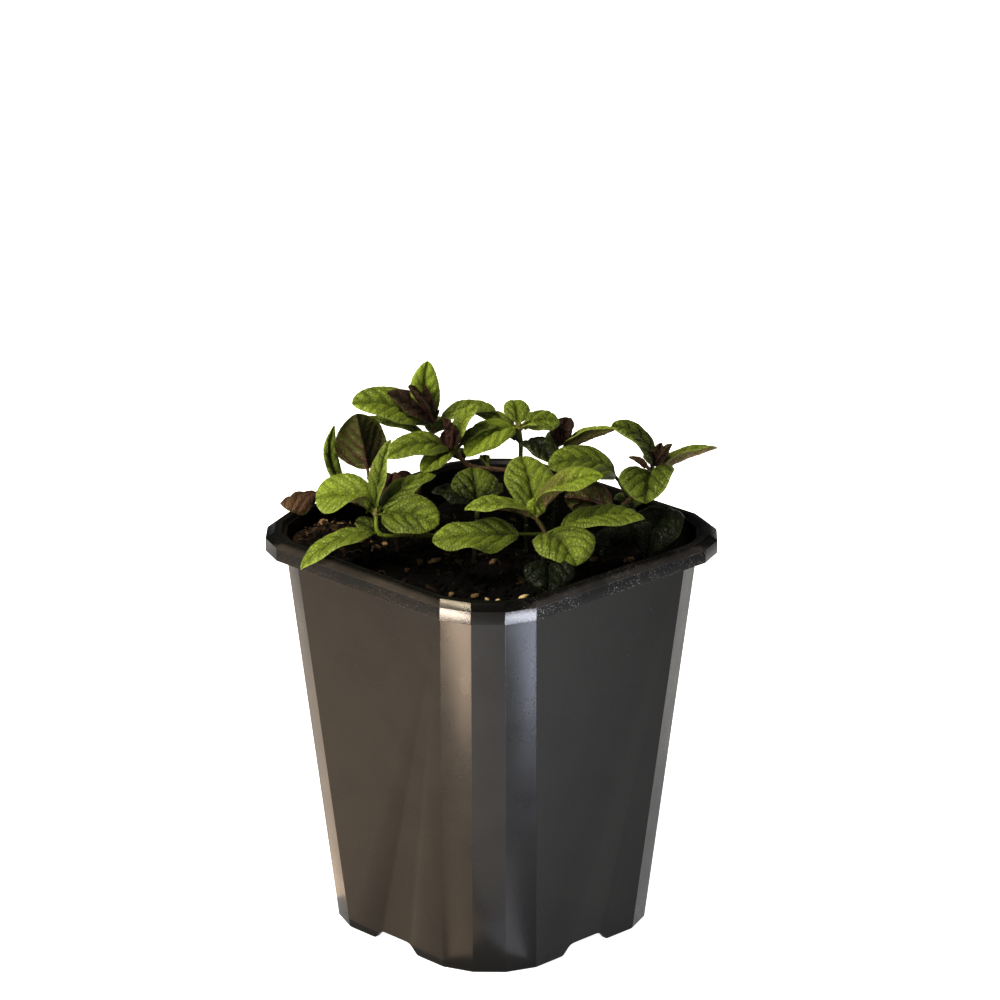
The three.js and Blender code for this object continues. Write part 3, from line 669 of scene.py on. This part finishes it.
def soil_body(pile):
    """The soil as rings round the pot's axis: out over the rough surface, down along the inner
    wall, and back in along the floor."""
    turn = np.linspace(0, 2 * np.pi, 361)[:-1][None]
    out = np.concatenate([[0.004], np.linspace(0.01, 1, 90)])[:, None]
    reach = out * inner_reach(turn, SOIL_LEVEL)
    x, y = reach * np.cos(turn), reach * np.sin(turn)
    top = np.stack([x, y, soil_height(x, y)], -1)
    rows = []
    for z, share in ((124, 1), (60, 1), (SOIL_FOOT, 1), (SOIL_FOOT, 0.01)):
        reach = share * inner_reach(turn[0], z)
        rows.append(np.stack([reach * np.cos(turn[0]), reach * np.sin(turn[0]),
                              0 * reach + z], -1))
    points = np.concatenate([top, np.array(rows)])[::-1]
    grain = noise(points, 1.6, 5)
    # painted light: the soil is paler round the left corner, where light falls on it
    corner = bell(points[..., 0], points[..., 1], PAINTED_LIGHT_CENTRE, PAINTED_LIGHT_SPREAD)
    tone = np.clip(0.12 + 0.22 * grain + 0.26 * corner, 0, 1)
    tint = np.stack([tone, 0 * tone, 0 * tone, 1 + 0 * tone], -1)
    pile.add(points, ring_faces(*points.shape[:2]), tint=tint)


def turned(draw, count):
    """Random rotations, one matrix each, from the random unit quaternions w, x, y, z."""
    w, x, y, z = unit(draw.normal(size=(count, 4))).T
    return np.stack([
        np.stack([1 - 2 * (y * y + z * z), 2 * (x * y - z * w), 2 * (x * z + y * w)], -1),
        np.stack([2 * (x * y + z * w), 1 - 2 * (x * x + z * z), 2 * (y * z - x * w)], -1),
        np.stack([2 * (x * z - y * w), 2 * (y * z + x * w), 1 - 2 * (x * x + y * y)], -1)], 1)


def laid_flat(spin, share, draw):
    """Rotations that turn at random about the upright axis and tip only a share as far as the
    given ones."""
    count = len(spin)
    angle = draw.uniform(0, 2 * np.pi, count)
    c, s = np.cos(angle), np.sin(angle)
    level = np.zeros((count, 3, 3))
    level[:, 0, 0], level[:, 0, 1], level[:, 1, 0], level[:, 1, 1] = c, -s, s, c
    level[:, 2, 2] = 1
    upright = np.eye(3)
    return level @ (upright + share * (spin - upright) * 0.35)


def lumps(pile, centres, sizes, tones, boxy, seed, flat=0.0):
    """Many small lumps: a ball of rings whose points are pulled towards a box by the power
    boxy, stretched to each lump's three sizes, roughened and turned at random."""
    draw = np.random.default_rng(seed)
    count = len(centres)
    rings, sides = 5, 6
    polar = np.linspace(0.15, np.pi - 0.15, rings)[:, None]
    turn = np.linspace(0, 2 * np.pi, sides + 1)[:-1][None]
    ball = np.stack([np.sin(polar) * np.cos(turn), np.sin(polar) * np.sin(turn),
                     np.cos(polar) + 0 * turn], -1).reshape(-1, 3)
    ball = np.sign(ball) * np.abs(ball) ** boxy
    rough = 1 + draw.normal(scale=0.13, size=(count, len(ball), 1))
    spin = turned(draw, count)
    if flat:
        spin = laid_flat(spin, flat, draw)
    body = (ball[None] * rough * sizes[:, None] / 2) @ np.swapaxes(spin, 1, 2)
    points = centres[:, None] + body
    start = (np.arange(count) * len(ball))[:, None, None]
    faces = [(start + f).reshape(-1, f.shape[-1]) for f in ring_faces(rings, sides)]
    tone = np.broadcast_to(tones[:, None], points.shape[:2])
    tint = np.stack([tone, tone, tone, 0 * tone + 1], -1)
    pile.add(points, faces, tint=tint)


def scatter(draw, count, reach):
    """Random places on the soil inside the given share of the way to the wall."""
    turn = draw.uniform(0, 2 * np.pi, count)
    out = np.sqrt(draw.random(count)) * reach * inner_reach(turn, SOIL_LEVEL)
    x, y = out * np.cos(turn), out * np.sin(turn)
    return np.stack([x, y, soil_height(x, y)], -1)


# Chips of bark that the photograph shows: place in the pot, sizes, tone
MARKED_CHIPS = [
    ((38, -22), (5.8, 3.4, 2.4), 0.95),
    ((35.5, 31), (4.6, 3.8, 3.0), 0.72),
    ((27, 22), (5.0, 3.4, 2.4), 0.52),
    ((6, -5), (6.4, 3.2, 2.6), 0.62),
    ((-52, -31), (4.6, 3.2, 2.4), 0.7),
    ((-12, -22), (5.2, 3.4, 2.2), 0.5),
    ((-8.5, -19), (5.4, 2.4, 1.8), 0.6),
    ((26, -33), (3.2, 2.6, 2.0), 0.62),
    ((31, -32), (2.4, 1.6, 1.4), 0.85),
    ((34, -30), (1.8, 1.4, 1.2), 0.9),
    ((20, -38), (2.8, 2.0, 1.6), 0.66),
    ((16, -44), (2.6, 2.0, 1.6), 0.55),
    ((-28, -29), (2.8, 2.0, 1.6), 0.56),
    ((-33, -34), (2.2, 1.6, 1.4), 0.5),
    ((-9, -31), (2.4, 2.0, 1.6), 0.45),
]


def add_crumbs(pile, draw):
    """Small round crumbs, most of them fine and a few up to 3 mm."""
    places = scatter(draw, CRUMBS, 0.97)
    size = 0.7 + 2.2 * draw.random(CRUMBS) ** 3
    lumps(pile, places, size[:, None] * draw.uniform(0.7, 1.3, (CRUMBS, 3)),
          np.clip(draw.normal(0.14, 0.1, CRUMBS), 0, 0.5), 0.9, 21)


def add_chips(pile, draw):
    """Flat chips of bark all over the soil."""
    places = scatter(draw, CHIPS, 0.93) + np.array([0, 0, 0.3])
    long = draw.uniform(2.2, 6.0, CHIPS)
    lumps(pile, places, np.stack([long, long * draw.uniform(0.4, 0.7, CHIPS),
                                  draw.uniform(0.8, 1.8, CHIPS)], -1),
          np.clip(draw.normal(0.24, 0.14, CHIPS), 0, 0.6), 0.55, 22, flat=1.0)


def add_flakes(pile, draw):
    """Pale flakes of bark in the left corner, made paler still as painted light on that corner.
    """
    turn = draw.uniform(0, 2 * np.pi, FLAKES)
    out = FLAKE_REACH * np.sqrt(draw.random(FLAKES))
    x, y = FLAKE_PATCH[0] + out * np.cos(turn), FLAKE_PATCH[1] + out * np.sin(turn)
    inside = np.hypot(x, y) < 0.95 * inner_reach(np.arctan2(y, x), SOIL_LEVEL)
    places = np.stack([x, y, soil_height(x, y) + 0.5], -1)[inside]
    count = len(places)
    long = draw.uniform(1.5, 5.0, count)
    # painted light: the flakes' high tones stand partly for the light on the left corner
    lumps(pile, places, np.stack([long, 0.6 * long, draw.uniform(0.6, 1.4, count)], -1),
          draw.uniform(0.35, 0.85, count) ** 1.3, 0.55, 24, flat=1.0)


def add_marked_chips(pile):
    """The chips of the table, each where the photograph shows it."""
    x, y = np.array([place for place, _, _ in MARKED_CHIPS], float).T
    places = np.stack([x, y, soil_height(x, y) + 0.6], -1)
    lumps(pile, places, np.array([sizes for _, sizes, _ in MARKED_CHIPS]),
          np.array([tone for _, _, tone in MARKED_CHIPS]), 0.6, 23, flat=0.5)


def add_fibres(pile, draw):
    """Thin crooked fibres of peat that lie on the soil."""
    for root in scatter(draw, FIBRES, 0.9):
        turn, length = draw.uniform(0, 2 * np.pi), draw.uniform(3, 9)
        run = np.linspace(-0.5, 0.5, 4)[:, None] * length * np.array(
            [np.cos(turn), np.sin(turn), 0])
        run = root + run + draw.normal(scale=0.5, size=(4, 3)) + np.array([0, 0, 0.7])
        points = tube(curve(run, 9), np.linspace(0, 2 * np.pi, 5)[:-1], 0.13)
        tone = np.full(points.shape[:2], draw.uniform(0.2, 0.6))
        pile.add(points, ring_faces(9, 4), tint=np.stack([tone, tone, tone, 1 + 0 * tone], -1))


def make_soil(material):
    """The soil with its crumbs, chips of bark and fibres, as one piece."""
    draw = np.random.default_rng(5)
    pile = Pile()
    soil_body(pile)
    add_crumbs(pile, draw)
    add_chips(pile, draw)
    add_flakes(pile, draw)
    add_marked_chips(pile)
    add_fibres(pile, draw)
    soil = pile.build("potting_mix", material)
    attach(soil, "root")
    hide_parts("soil")


# Pot

def make_pot(material):
    """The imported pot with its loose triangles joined, flat faces merged, and edges rounded."""
    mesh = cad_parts["pot"].data.copy()
    shape = bmesh.new()
    shape.from_mesh(mesh)
    bmesh.ops.remove_doubles(shape, verts=shape.verts, dist=1e-6)
    bmesh.ops.dissolve_limit(shape, angle_limit=rad(1.0), verts=shape.verts, edges=shape.edges)
    shape.to_mesh(mesh)
    shape.free()
    mesh.name = "nursery_pot"
    mesh.materials.clear()
    mesh.materials.append(material)
    mesh.polygons.foreach_set("use_smooth", np.full(len(mesh.polygons), True))
    pot = new_object("nursery_pot", mesh)
    bevel = pot.modifiers.new("rounded_edges", "BEVEL")
    bevel.width = EDGE_ROUND * MM
    bevel.segments = 2
    bevel.limit_method = "ANGLE"
    bevel.angle_limit = rad(12)
    bevel.harden_normals = True
    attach(pot, "root")
    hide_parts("pot")
    return pot


# Materials

# The setting that a kind's choice stands for, as in Math.ADD
CHOICES = {"Math": "operation", "VectorMath": "operation", "Mix": "data_type",
           "MapRange": "interpolation_type"}
SMOOTH = "MapRange.SMOOTHSTEP"


def colour(code):
    """An sRGB hex colour as linear red, green, blue and a full alpha."""
    parts = np.array([int(code[i:i + 2], 16) for i in (1, 3, 5)]) / 255
    linear = np.where(parts <= 0.04045, parts / 12.92, ((parts + 0.055) / 1.055) ** 2.4)
    return (*linear.tolist(), 1.0)


def node(tree, kind, *inputs, **settings):
    """Adds a node with its settings, sets or links its inputs, given in order or as one dict by
    name or number, and returns its outputs. Text given to an input is a hex colour."""
    kind, _, choice = kind.partition(".")
    made = tree.nodes.new(f"ShaderNode{kind}")
    if choice:
        settings[CHOICES[kind]] = choice
    for key, value in settings.items():
        setattr(made, key, value)
    if not inputs or not isinstance(inputs[0], dict):
        inputs = [dict(enumerate(inputs))]
    for key, value in inputs[0].items():
        if isinstance(value, bpy.types.NodeSocket):
            tree.links.new(value, made.inputs[key])
        else:
            made.inputs[key].default_value = colour(value) if isinstance(value, str) else value
    return made.outputs


def new_material(name):
    """An empty material, and the way to add nodes to it."""
    made = bpy.data.materials.new(name)
    made.use_nodes = True
    made.node_tree.nodes.clear()
    return made, partial(node, made.node_tree)


# Colours of a leaf: its upper face where it is deep, bright and ruddy, and its lower face
LeafColours = namedtuple("LeafColours", "deep bright ruddy under under_ruddy")


def leaf_lines(add, spot):
    """The veins, the furrows they lie in and the net of fine veins, 1 on each line. A side vein
    runs where the count of the leaf map is a whole number."""
    x, _, count = add("SeparateXYZ", spot)
    across = add("Math.ABSOLUTE", x)[0]
    apart = add("Math.PINGPONG", count, 0.5)[0]
    side = add(SMOOTH, apart, 0.01, 0.07, 1, 0)[0]
    midrib = add(SMOOTH, across, 0.1, 0.4, 1, 0)[0]
    vein = add("Math.MAXIMUM", side, midrib)[0]
    side = add(SMOOTH, apart, 0.03, 0.24, 1, 0)[0]
    midrib = add(SMOOTH, across, 0.3, 1.1, 1, 0)[0]
    furrow = add("Math.MAXIMUM", side, midrib)[0]
    net = add("TexVoronoi", {"Vector": spot, "Scale": 0.95}, feature="DISTANCE_TO_EDGE",
              voronoi_dimensions="2D")["Distance"]
    return vein, furrow, add(SMOOTH, net, 0.01, 0.16, 1, 0)[0]


def leaf_tone(add, tone, drift, speck, furrow, net_line):
    """From deep at 0 to bright at 1: the leaf's own tone and a soft drift, brighter on the grains
    as painted highlights, darker in the furrows as painted shade, and darker on the net."""
    drift = add("Math.SUBTRACT", drift, 0.5)[0]
    lit = add("Math.MULTIPLY_ADD", drift, 0.6, tone)[0]
    # painted highlight: the grains are made brighter, as light on the tops of the pebbles
    with_glints = add("Math.MULTIPLY_ADD", speck, 0.14, lit)[0]
    # painted shade: the furrows along the veins are made darker, as the shade in them
    with_furrow_shade = add("Math.MULTIPLY_ADD", furrow, -0.1, with_glints)[0]
    return add("Math.MULTIPLY_ADD", net_line, -0.05, with_furrow_shade)[0]


def leaf_above(add, tone, purple, margin, netted, vein, speck, colours):
    """The upper face: green that darkens on the veins, ruddy where the leaf is purple, pale
    specks on the grains that are partly down and partly painted sheen, and a pale margin on the
    brighter and greener leaves."""
    veined = add("Math.MULTIPLY_ADD", vein, -0.2, netted)[0]
    green = add("Mix.RGBA", {0: veined, 6: colours.deep, 7: colours.bright})[2]
    share = add(SMOOTH, purple, 0.3, 0.9, 0, 1)[0]
    upper = add("Mix.RGBA", {0: share, 6: green, 7: colours.ruddy})[2]
    # painted sheen: the pale specks of down grow stronger where the leaf is brighter, as light on
    # its hairs
    share = add(SMOOTH, netted, 0.1, 1.0, 0, 0.2)[0]
    down = add("Math.MULTIPLY", speck, share)[0]
    downy_sheen = add("Mix.RGBA", {0: down, 6: upper, 7: "#a9b07c"})[2]
    bright = add(SMOOTH, tone, -0.2, 0.5, 0, 1)[0]
    greenish = add("Math.MULTIPLY_ADD", purple, -0.4, 0.4)[0]
    share = add("Math.MULTIPLY", bright, greenish)[0]
    pale = add("Math.MULTIPLY", margin, share)[0]
    return add("Mix.RGBA", {0: pale, 6: downy_sheen, 7: "#a3b060"})[2]


def leaf_below(add, tone, purple, netted, furrow, colours):
    """The lower face: a duller green, stained along the veins where the leaf is purple, with a
    stain that is tan on bright leaves."""
    panel = add("Mix.RGBA", {0: netted, 6: colours.deep, 7: colours.under})[2]
    share = add("Math.MULTIPLY_ADD", furrow, 1.3, 0.2)[0]
    stained = add("Math.MULTIPLY", purple, share)[0]
    bright = add(SMOOTH, tone, 0.45, 0.8, 0, 1)[0]
    stain = add("Mix.RGBA", {0: bright, 6: colours.under_ruddy, 7: "#a08468"})[2]
    return add("Mix.RGBA", {0: stained, 6: panel, 7: stain})[2]


def leaf_material(name, colours, rough):
    """A living or dry leaf. The veins are sunken darker lines above and raised ruddy or paler
    lines below; a net of fine veins about 1.1 mm apart and grains of half a millimetre, coarser
    than the real hairs and glands so that they show, give the pebbled look, with painted
    highlights and a painted sheen on the grains and painted shade in the furrows. The scales
    are counts per mm, because the leaf map is in mm."""
    made, add = new_material(name)
    spot = add("Attribute", attribute_name="leaf_map")["Vector"]
    tint = add("Attribute", attribute_name="tint")
    tone, purple, under = add("SeparateColor", tint["Color"])
    grain = add("TexVoronoi", {"Vector": spot, "Scale": 2.1}, voronoi_dimensions="2D")[0]
    speck = add(SMOOTH, grain, 0.1, 0.6, 1, 0)[0]
    drift = add("TexNoise", {"Vector": spot, "Scale": 0.45, "Detail": 4.0, "Roughness": 0.6})[0]
    vein, furrow, net_line = leaf_lines(add, spot)
    netted = leaf_tone(add, tone, drift, speck, furrow, net_line)
    above = leaf_above(add, tone, purple, tint["Alpha"], netted, vein, speck, colours)
    below = leaf_below(add, tone, purple, netted, furrow, colours)
    both = add("Mix.RGBA", {0: under, 6: above, 7: below})[2]
    grains = add("Math.MULTIPLY", grain, -0.35)[0]
    relief = add("Math.MULTIPLY_ADD", net_line, -0.7, grains)[0]
    bump = add("Bump", {"Height": relief, "Strength": 0.9, "Distance": 0.42 * MM})[0]
    gloss = add("Math.MULTIPLY_ADD", drift, 0.25, rough)[0]
    surface = add("BsdfPrincipled", {
        "Base Color": both, "Roughness": gloss, "Normal": bump, "IOR": 1.42,
        "Specular IOR Level": 0.42, "Subsurface Weight": 0.3,
        "Subsurface Radius": (0.8, 1.0, 0.3), "Subsurface Scale": 0.5 * MM})
    add("OutputMaterial", surface[0])
    return made


def soil_material():
    """Moist peat and bark: near black, with brown and a few tan crumbs, all rough."""
    made, add = new_material("moist_peat_and_bark")
    tint = add("Attribute", attribute_name="tint")["Color"]
    shade = add("SeparateColor", tint)[0]
    where = add("TexCoord")["Object"]
    grain = add("TexNoise", {"Vector": where, "Scale": 1 / (0.9 * MM), "Detail": 4.0,
                             "Roughness": 0.65})[0]
    uneven = add("Math.SUBTRACT", grain, 0.5)[0]
    tone = add("Math.MULTIPLY_ADD", uneven, 0.5, shade)[0]
    base = add("ValToRGB", tone)[0]
    ramp = base.node.color_ramp.elements
    for at, code in ((0.25, "#0b0704"), (0.5, "#453624"), (0.75, "#957c58")):
        ramp.new(at).color = colour(code)
    ramp[0].color = colour("#030201")
    ramp[-1].color = colour("#dccb98")
    bump = add("Bump", {"Height": grain, "Strength": 0.9, "Distance": 0.4 * MM})[0]
    surface = add("BsdfPrincipled", {"Base Color": base, "Normal": bump, "Roughness": 0.88,
                                     "Specular IOR Level": 0.15})
    add("OutputMaterial", surface[0])
    return made


def rim_wear(add, where, x, wide, patch):
    """Fine dust and short scuffs on the rim, in clumps and denser towards the right."""
    specks = add("TexVoronoi", {"Vector": where, "Scale": 1 / (0.75 * MM)})[0]
    long = add("Mapping", {"Vector": where, "Scale": (1.0, 1.0, 0.4)})[0]
    scuffs = add("TexNoise", {"Vector": long, "Scale": 1 / (0.8 * MM), "Detail": 4.0})[0]
    clumps = add(SMOOTH, patch, 0.3, 0.62, 0, 1)[0]
    density = add(SMOOTH, x, 30 * MM, 62 * MM, 0.4, 1)[0]
    clumped = add("Math.MULTIPLY", clumps, density)[0]
    specks = add(SMOOTH, specks, 0.1, 0.34, 1, 0)[0]
    speck = add("Math.MULTIPLY", specks, clumped)[0]
    scuffs = add(SMOOTH, scuffs, 0.6, 0.78, 0, 0.3)[0]
    scuff = add("Math.MULTIPLY", scuffs, clumped)[0]
    worn = add("Math.MAXIMUM", speck, scuff)[0]
    rim = add(SMOOTH, wide, 57.4 * MM, 58.4 * MM, 0, 1)[0]
    return add("Math.MULTIPLY", worn, rim)[0]


def chamfer_painted_highlight(add, height, wide, patch):
    """A painted highlight: a thin pale band in clumps on the chamfer along the rim's upper edge.
    """
    high = add(SMOOTH, height, 139.2 * MM, 139.9 * MM, 0, 0.34)[0]
    outside = add(SMOOTH, wide, 60.4 * MM, 61.6 * MM, 0, 1)[0]
    chamfer = add("Math.MULTIPLY", high, outside)[0]
    return add("Math.MULTIPLY", chamfer, patch)[0]


def body_motes(add, where, height):
    """Single motes of dust, stronger towards the top of the body."""
    motes = add("TexVoronoi", {"Vector": where, "Scale": 1 / (4.5 * MM)})[0]
    mote = add(SMOOTH, motes, 0.02, 0.05, 0.28, 0)[0]
    upper = add(SMOOTH, height, 60 * MM, 140 * MM, 0, 1)[0]
    return add("Math.MULTIPLY", mote, upper)[0]


def pot_material():
    """Black moulded polypropylene, satin: soft highlights on the facets, a faint unevenness
    left by the mould, fine dust and scuffs, most of them on the rim, and a painted highlight
    along the chamfer of the rim's upper edge."""
    made, add = new_material("black_moulded_polypropylene")
    where = add("TexCoord")["Object"]
    x, _, height = add("SeparateXYZ", where)
    aside, ahead, _ = add("SeparateXYZ", add("VectorMath.ABSOLUTE", where)[0])
    wide = add("Math.MAXIMUM", aside, ahead)[0]
    patch = add("TexNoise", {"Vector": where, "Scale": 1 / (14 * MM), "Detail": 4.0})[0]
    fine = add("TexNoise", {"Vector": where, "Scale": 1 / (0.5 * MM), "Detail": 2.0})[0]
    wear = rim_wear(add, where, x, wide, patch)
    # the real wear on the rim joined with the painted highlight on the chamfer
    rim_wear_and_highlight = add("Math.MAXIMUM", wear, chamfer_painted_highlight(add, height, wide, patch))[0]
    # dust holds the real dust, scuffs and motes and the painted highlight on the chamfer
    dust = add("Math.MAXIMUM", rim_wear_and_highlight, body_motes(add, where, height))[0]
    black = add("Mix.RGBA", {0: patch, 6: "#050505", 7: "#090908"})[2]
    share = add("Math.MULTIPLY", dust, 0.17)[0]
    # the pale colour of the dust, and of the painted highlight on the chamfer
    dusty_and_highlit = add("Mix.RGBA", {0: share, 6: black, 7: "#a39c92"})[2]
    uneven = add("Math.MULTIPLY_ADD", patch, 0.12, 0.22)[0]
    gloss = add("Math.MULTIPLY_ADD", dust, 0.3, uneven)[0]
    bump = add("Bump", {"Height": fine, "Strength": 0.32, "Distance": 0.1 * MM})[0]
    surface = add("BsdfPrincipled", {"Base Color": dusty_and_highlit, "Roughness": gloss, "Normal": bump,
                                     "IOR": 1.49, "Specular IOR Level": 0.09})
    add("OutputMaterial", surface[0])
    return made


def floor_material():
    """Matt white paper sweep, lit from below as on a light table."""
    made, add = new_material("matt_white_paper")
    surface = add("BsdfPrincipled", {"Base Color": "#f4f4f2", "Roughness": 0.9,
                                     "Emission Color": "#ffffff", "Emission Strength": 1.0})
    add("OutputMaterial", surface[0])
    return made


# Camera, light and floor, in mm and degrees

VIEW_TURN = 45.838  # where the camera stands round the pot
VIEW_RISE = 19.148
VIEW_DISTANCE = 1707.62
VIEW_TARGET = np.array([1.99, 2.05, 151.78])
VIEW_LENS = 180.84
VIEW_SENSOR = 36.0
WORLD_STRENGTH = 0.16
FLOOR_REACH = 4.0  # in metres

ROOM_DISTANCE = 900
ROOM_SIZE = (380, 380)
ROOM_TARGET = (0, 0, 140)
# Name, degrees right of the camera, degrees up, watts, colour, and whether it gives highlights
ROOM_LIGHTS = [
    ("overhead_left", -48, 54, 8.6, "#fff6ea", True),
    ("front_left", -40, 22, 4.0, "#fff8ee", True),
    ("back_fill", 165, 22, 3.4, "#fffaf4", False),
]
# For the pot alone: name, degrees right of the camera, degrees up, distance, size, watts,
# colour, and the place it looks at
POT_LIGHTS = [
    ("top_left", -86, 66, 805, (110, 110), 15.0, "#ffeed0", (0, 0, 140)),
    ("left_strip_high", -34.5, 0, 165, (50, 34), 1.3, "#ffeedd", (0, 0, 101)),
    ("left_strip_low", -35.5, 0, 165, (50, 56), 0.8, "#ffe4c8", (0, 0, 42)),
    ("right_strip_high", 31.0, 0, 165, (50, 34), 0.95, "#f0f3ff", (0, 0, 101)),
    ("right_strip_low", 32.5, 0, 165, (50, 56), 0.7, "#e2eaff", (0, 0, 42)),
]
CARD_HEIGHT = 2
CARD_RANGE = 100  # from a card up to the place it looks at
# Cards that lie round the pot, face up and light it alone: name, size, watts, colour, place
CARDS = [
    ("left_glow", (24, 164), 0.09, "#ffe2c4", (38, -130)),
    ("left_glow_far", (40, 100), 0.5, "#ffe2c4", (38, -200)),
    ("right_glow", (164, 24), 0.095, "#f0f2ff", (130, -38)),
    ("right_glow_far", (100, 40), 0.5, "#e6ecff", (200, -38)),
    ("front_glow", (166, 166), 0.56, "#fff8f4", (139, -137)),
    ("left_floor", (260, 188), 0.42, "#ffd8b0", (-95, -141)),
    ("left_edge_glow", (236, 26), 0.06, "#ffdcb8", (-160, -47)),
]


def direction(turn, rise):
    """The way from the pot to a place round it: turn counts from -Y towards +X."""
    return np.array([np.sin(rad(turn)) * np.cos(rad(rise)),
                     -np.cos(rad(turn)) * np.cos(rad(rise)), np.sin(rad(rise))])


def aim(thing, place, target):
    """Stands a camera or light at a place, in mm, and turns it to look at the target."""
    thing.location = Vector(place * MM)
    thing.rotation_euler = Vector((target - place) * MM).to_track_quat("-Z", "Y").to_euler()


def make_camera():
    data = bpy.data.cameras.new("camera")
    data.lens = VIEW_LENS
    data.sensor_width = VIEW_SENSOR
    data.clip_start = 0.05
    data.clip_end = 20.0
    camera = new_object("camera", data)
    aim(camera, VIEW_TARGET + VIEW_DISTANCE * direction(VIEW_TURN, VIEW_RISE), VIEW_TARGET)
    bpy.context.scene.camera = camera


def make_light(name, turn, rise, distance, size, power, code, target, only=None, shines=True):
    """A soft rectangular light that stands turn degrees right of the camera, seen from above
    the pot, and looks at the target. With only, it lights that piece alone, and without shines
    it gives no highlights."""
    data = bpy.data.lights.new(name, "AREA")
    data.shape = "RECTANGLE"
    data.size = size[0] * MM
    data.size_y = size[1] * MM
    data.energy = power
    data.color = colour(code)[:3]
    light = new_object(name, data)
    light.visible_camera = False
    light.visible_glossy = shines
    if only:
        group = bpy.data.collections.new(f"{name}_receiver")
        group.objects.link(only)
        light.light_linking.receiver_collection = group
    target = np.array(target, float)
    aim(light, target + distance * direction(VIEW_TURN + turn, rise), target)


def make_world():
    world = bpy.data.worlds.new("studio")
    world.use_nodes = True
    background = world.node_tree.nodes["Background"]
    background.inputs[0].default_value = (1, 1, 1, 1)
    background.inputs[1].default_value = WORLD_STRENGTH
    bpy.context.scene.world = world


def make_floor():
    mesh = bpy.data.meshes.new("floor")
    corners = [(-1, -1), (1, -1), (1, 1), (-1, 1)]
    mesh.from_pydata([(FLOOR_REACH * x, FLOOR_REACH * y, 0) for x, y in corners], [],
                     [(0, 1, 2, 3)])
    mesh.materials.append(floor_material())
    new_object("floor", mesh)


def make_studio(pot):
    """World, lights and floor. The lights for the pot alone stand in for the reflections that
    the photograph shows on its facets."""
    make_world()
    for name, turn, rise, power, code, shines in ROOM_LIGHTS:
        make_light(name, turn, rise, ROOM_DISTANCE, ROOM_SIZE, power, code, ROOM_TARGET,
                   shines=shines)
    for light in POT_LIGHTS:
        make_light(*light, only=pot)
    for name, size, power, code, (x, y) in CARDS:
        make_light(name, 0, -90, CARD_RANGE, size, power, code,
                   (x, y, CARD_HEIGHT + CARD_RANGE), only=pot)
    make_floor()
    bpy.context.scene.view_settings.view_transform = "Standard"
    bpy.context.scene.view_settings.gamma = 0.8


def main():
    make_camera()
    pot = make_pot(pot_material())
    make_studio(pot)
    make_soil(soil_material())
    green = leaf_material("living_mint_leaf", LeafColours(
        "#151d05", "#8c9e30", "#54392a", "#848a44", "#52302a"), 0.25)
    purple = leaf_material("young_purple_mint_leaf", LeafColours(
        "#1d180c", "#6d7a2c", "#3b271b", "#6a5a3c", "#4c3026"), 0.4)
    dry = leaf_material("dry_dead_leaf", LeafColours(
        "#3a281a", "#8a6a4c", "#4a3024", "#94785a", "#5e4030"), 0.62)
    for name, shoot in SHOOTS.items():
        make_shoot(name, shoot, dry if name == "dried_leaf" else green, purple)
    make_dead_leaf(dry)


main()
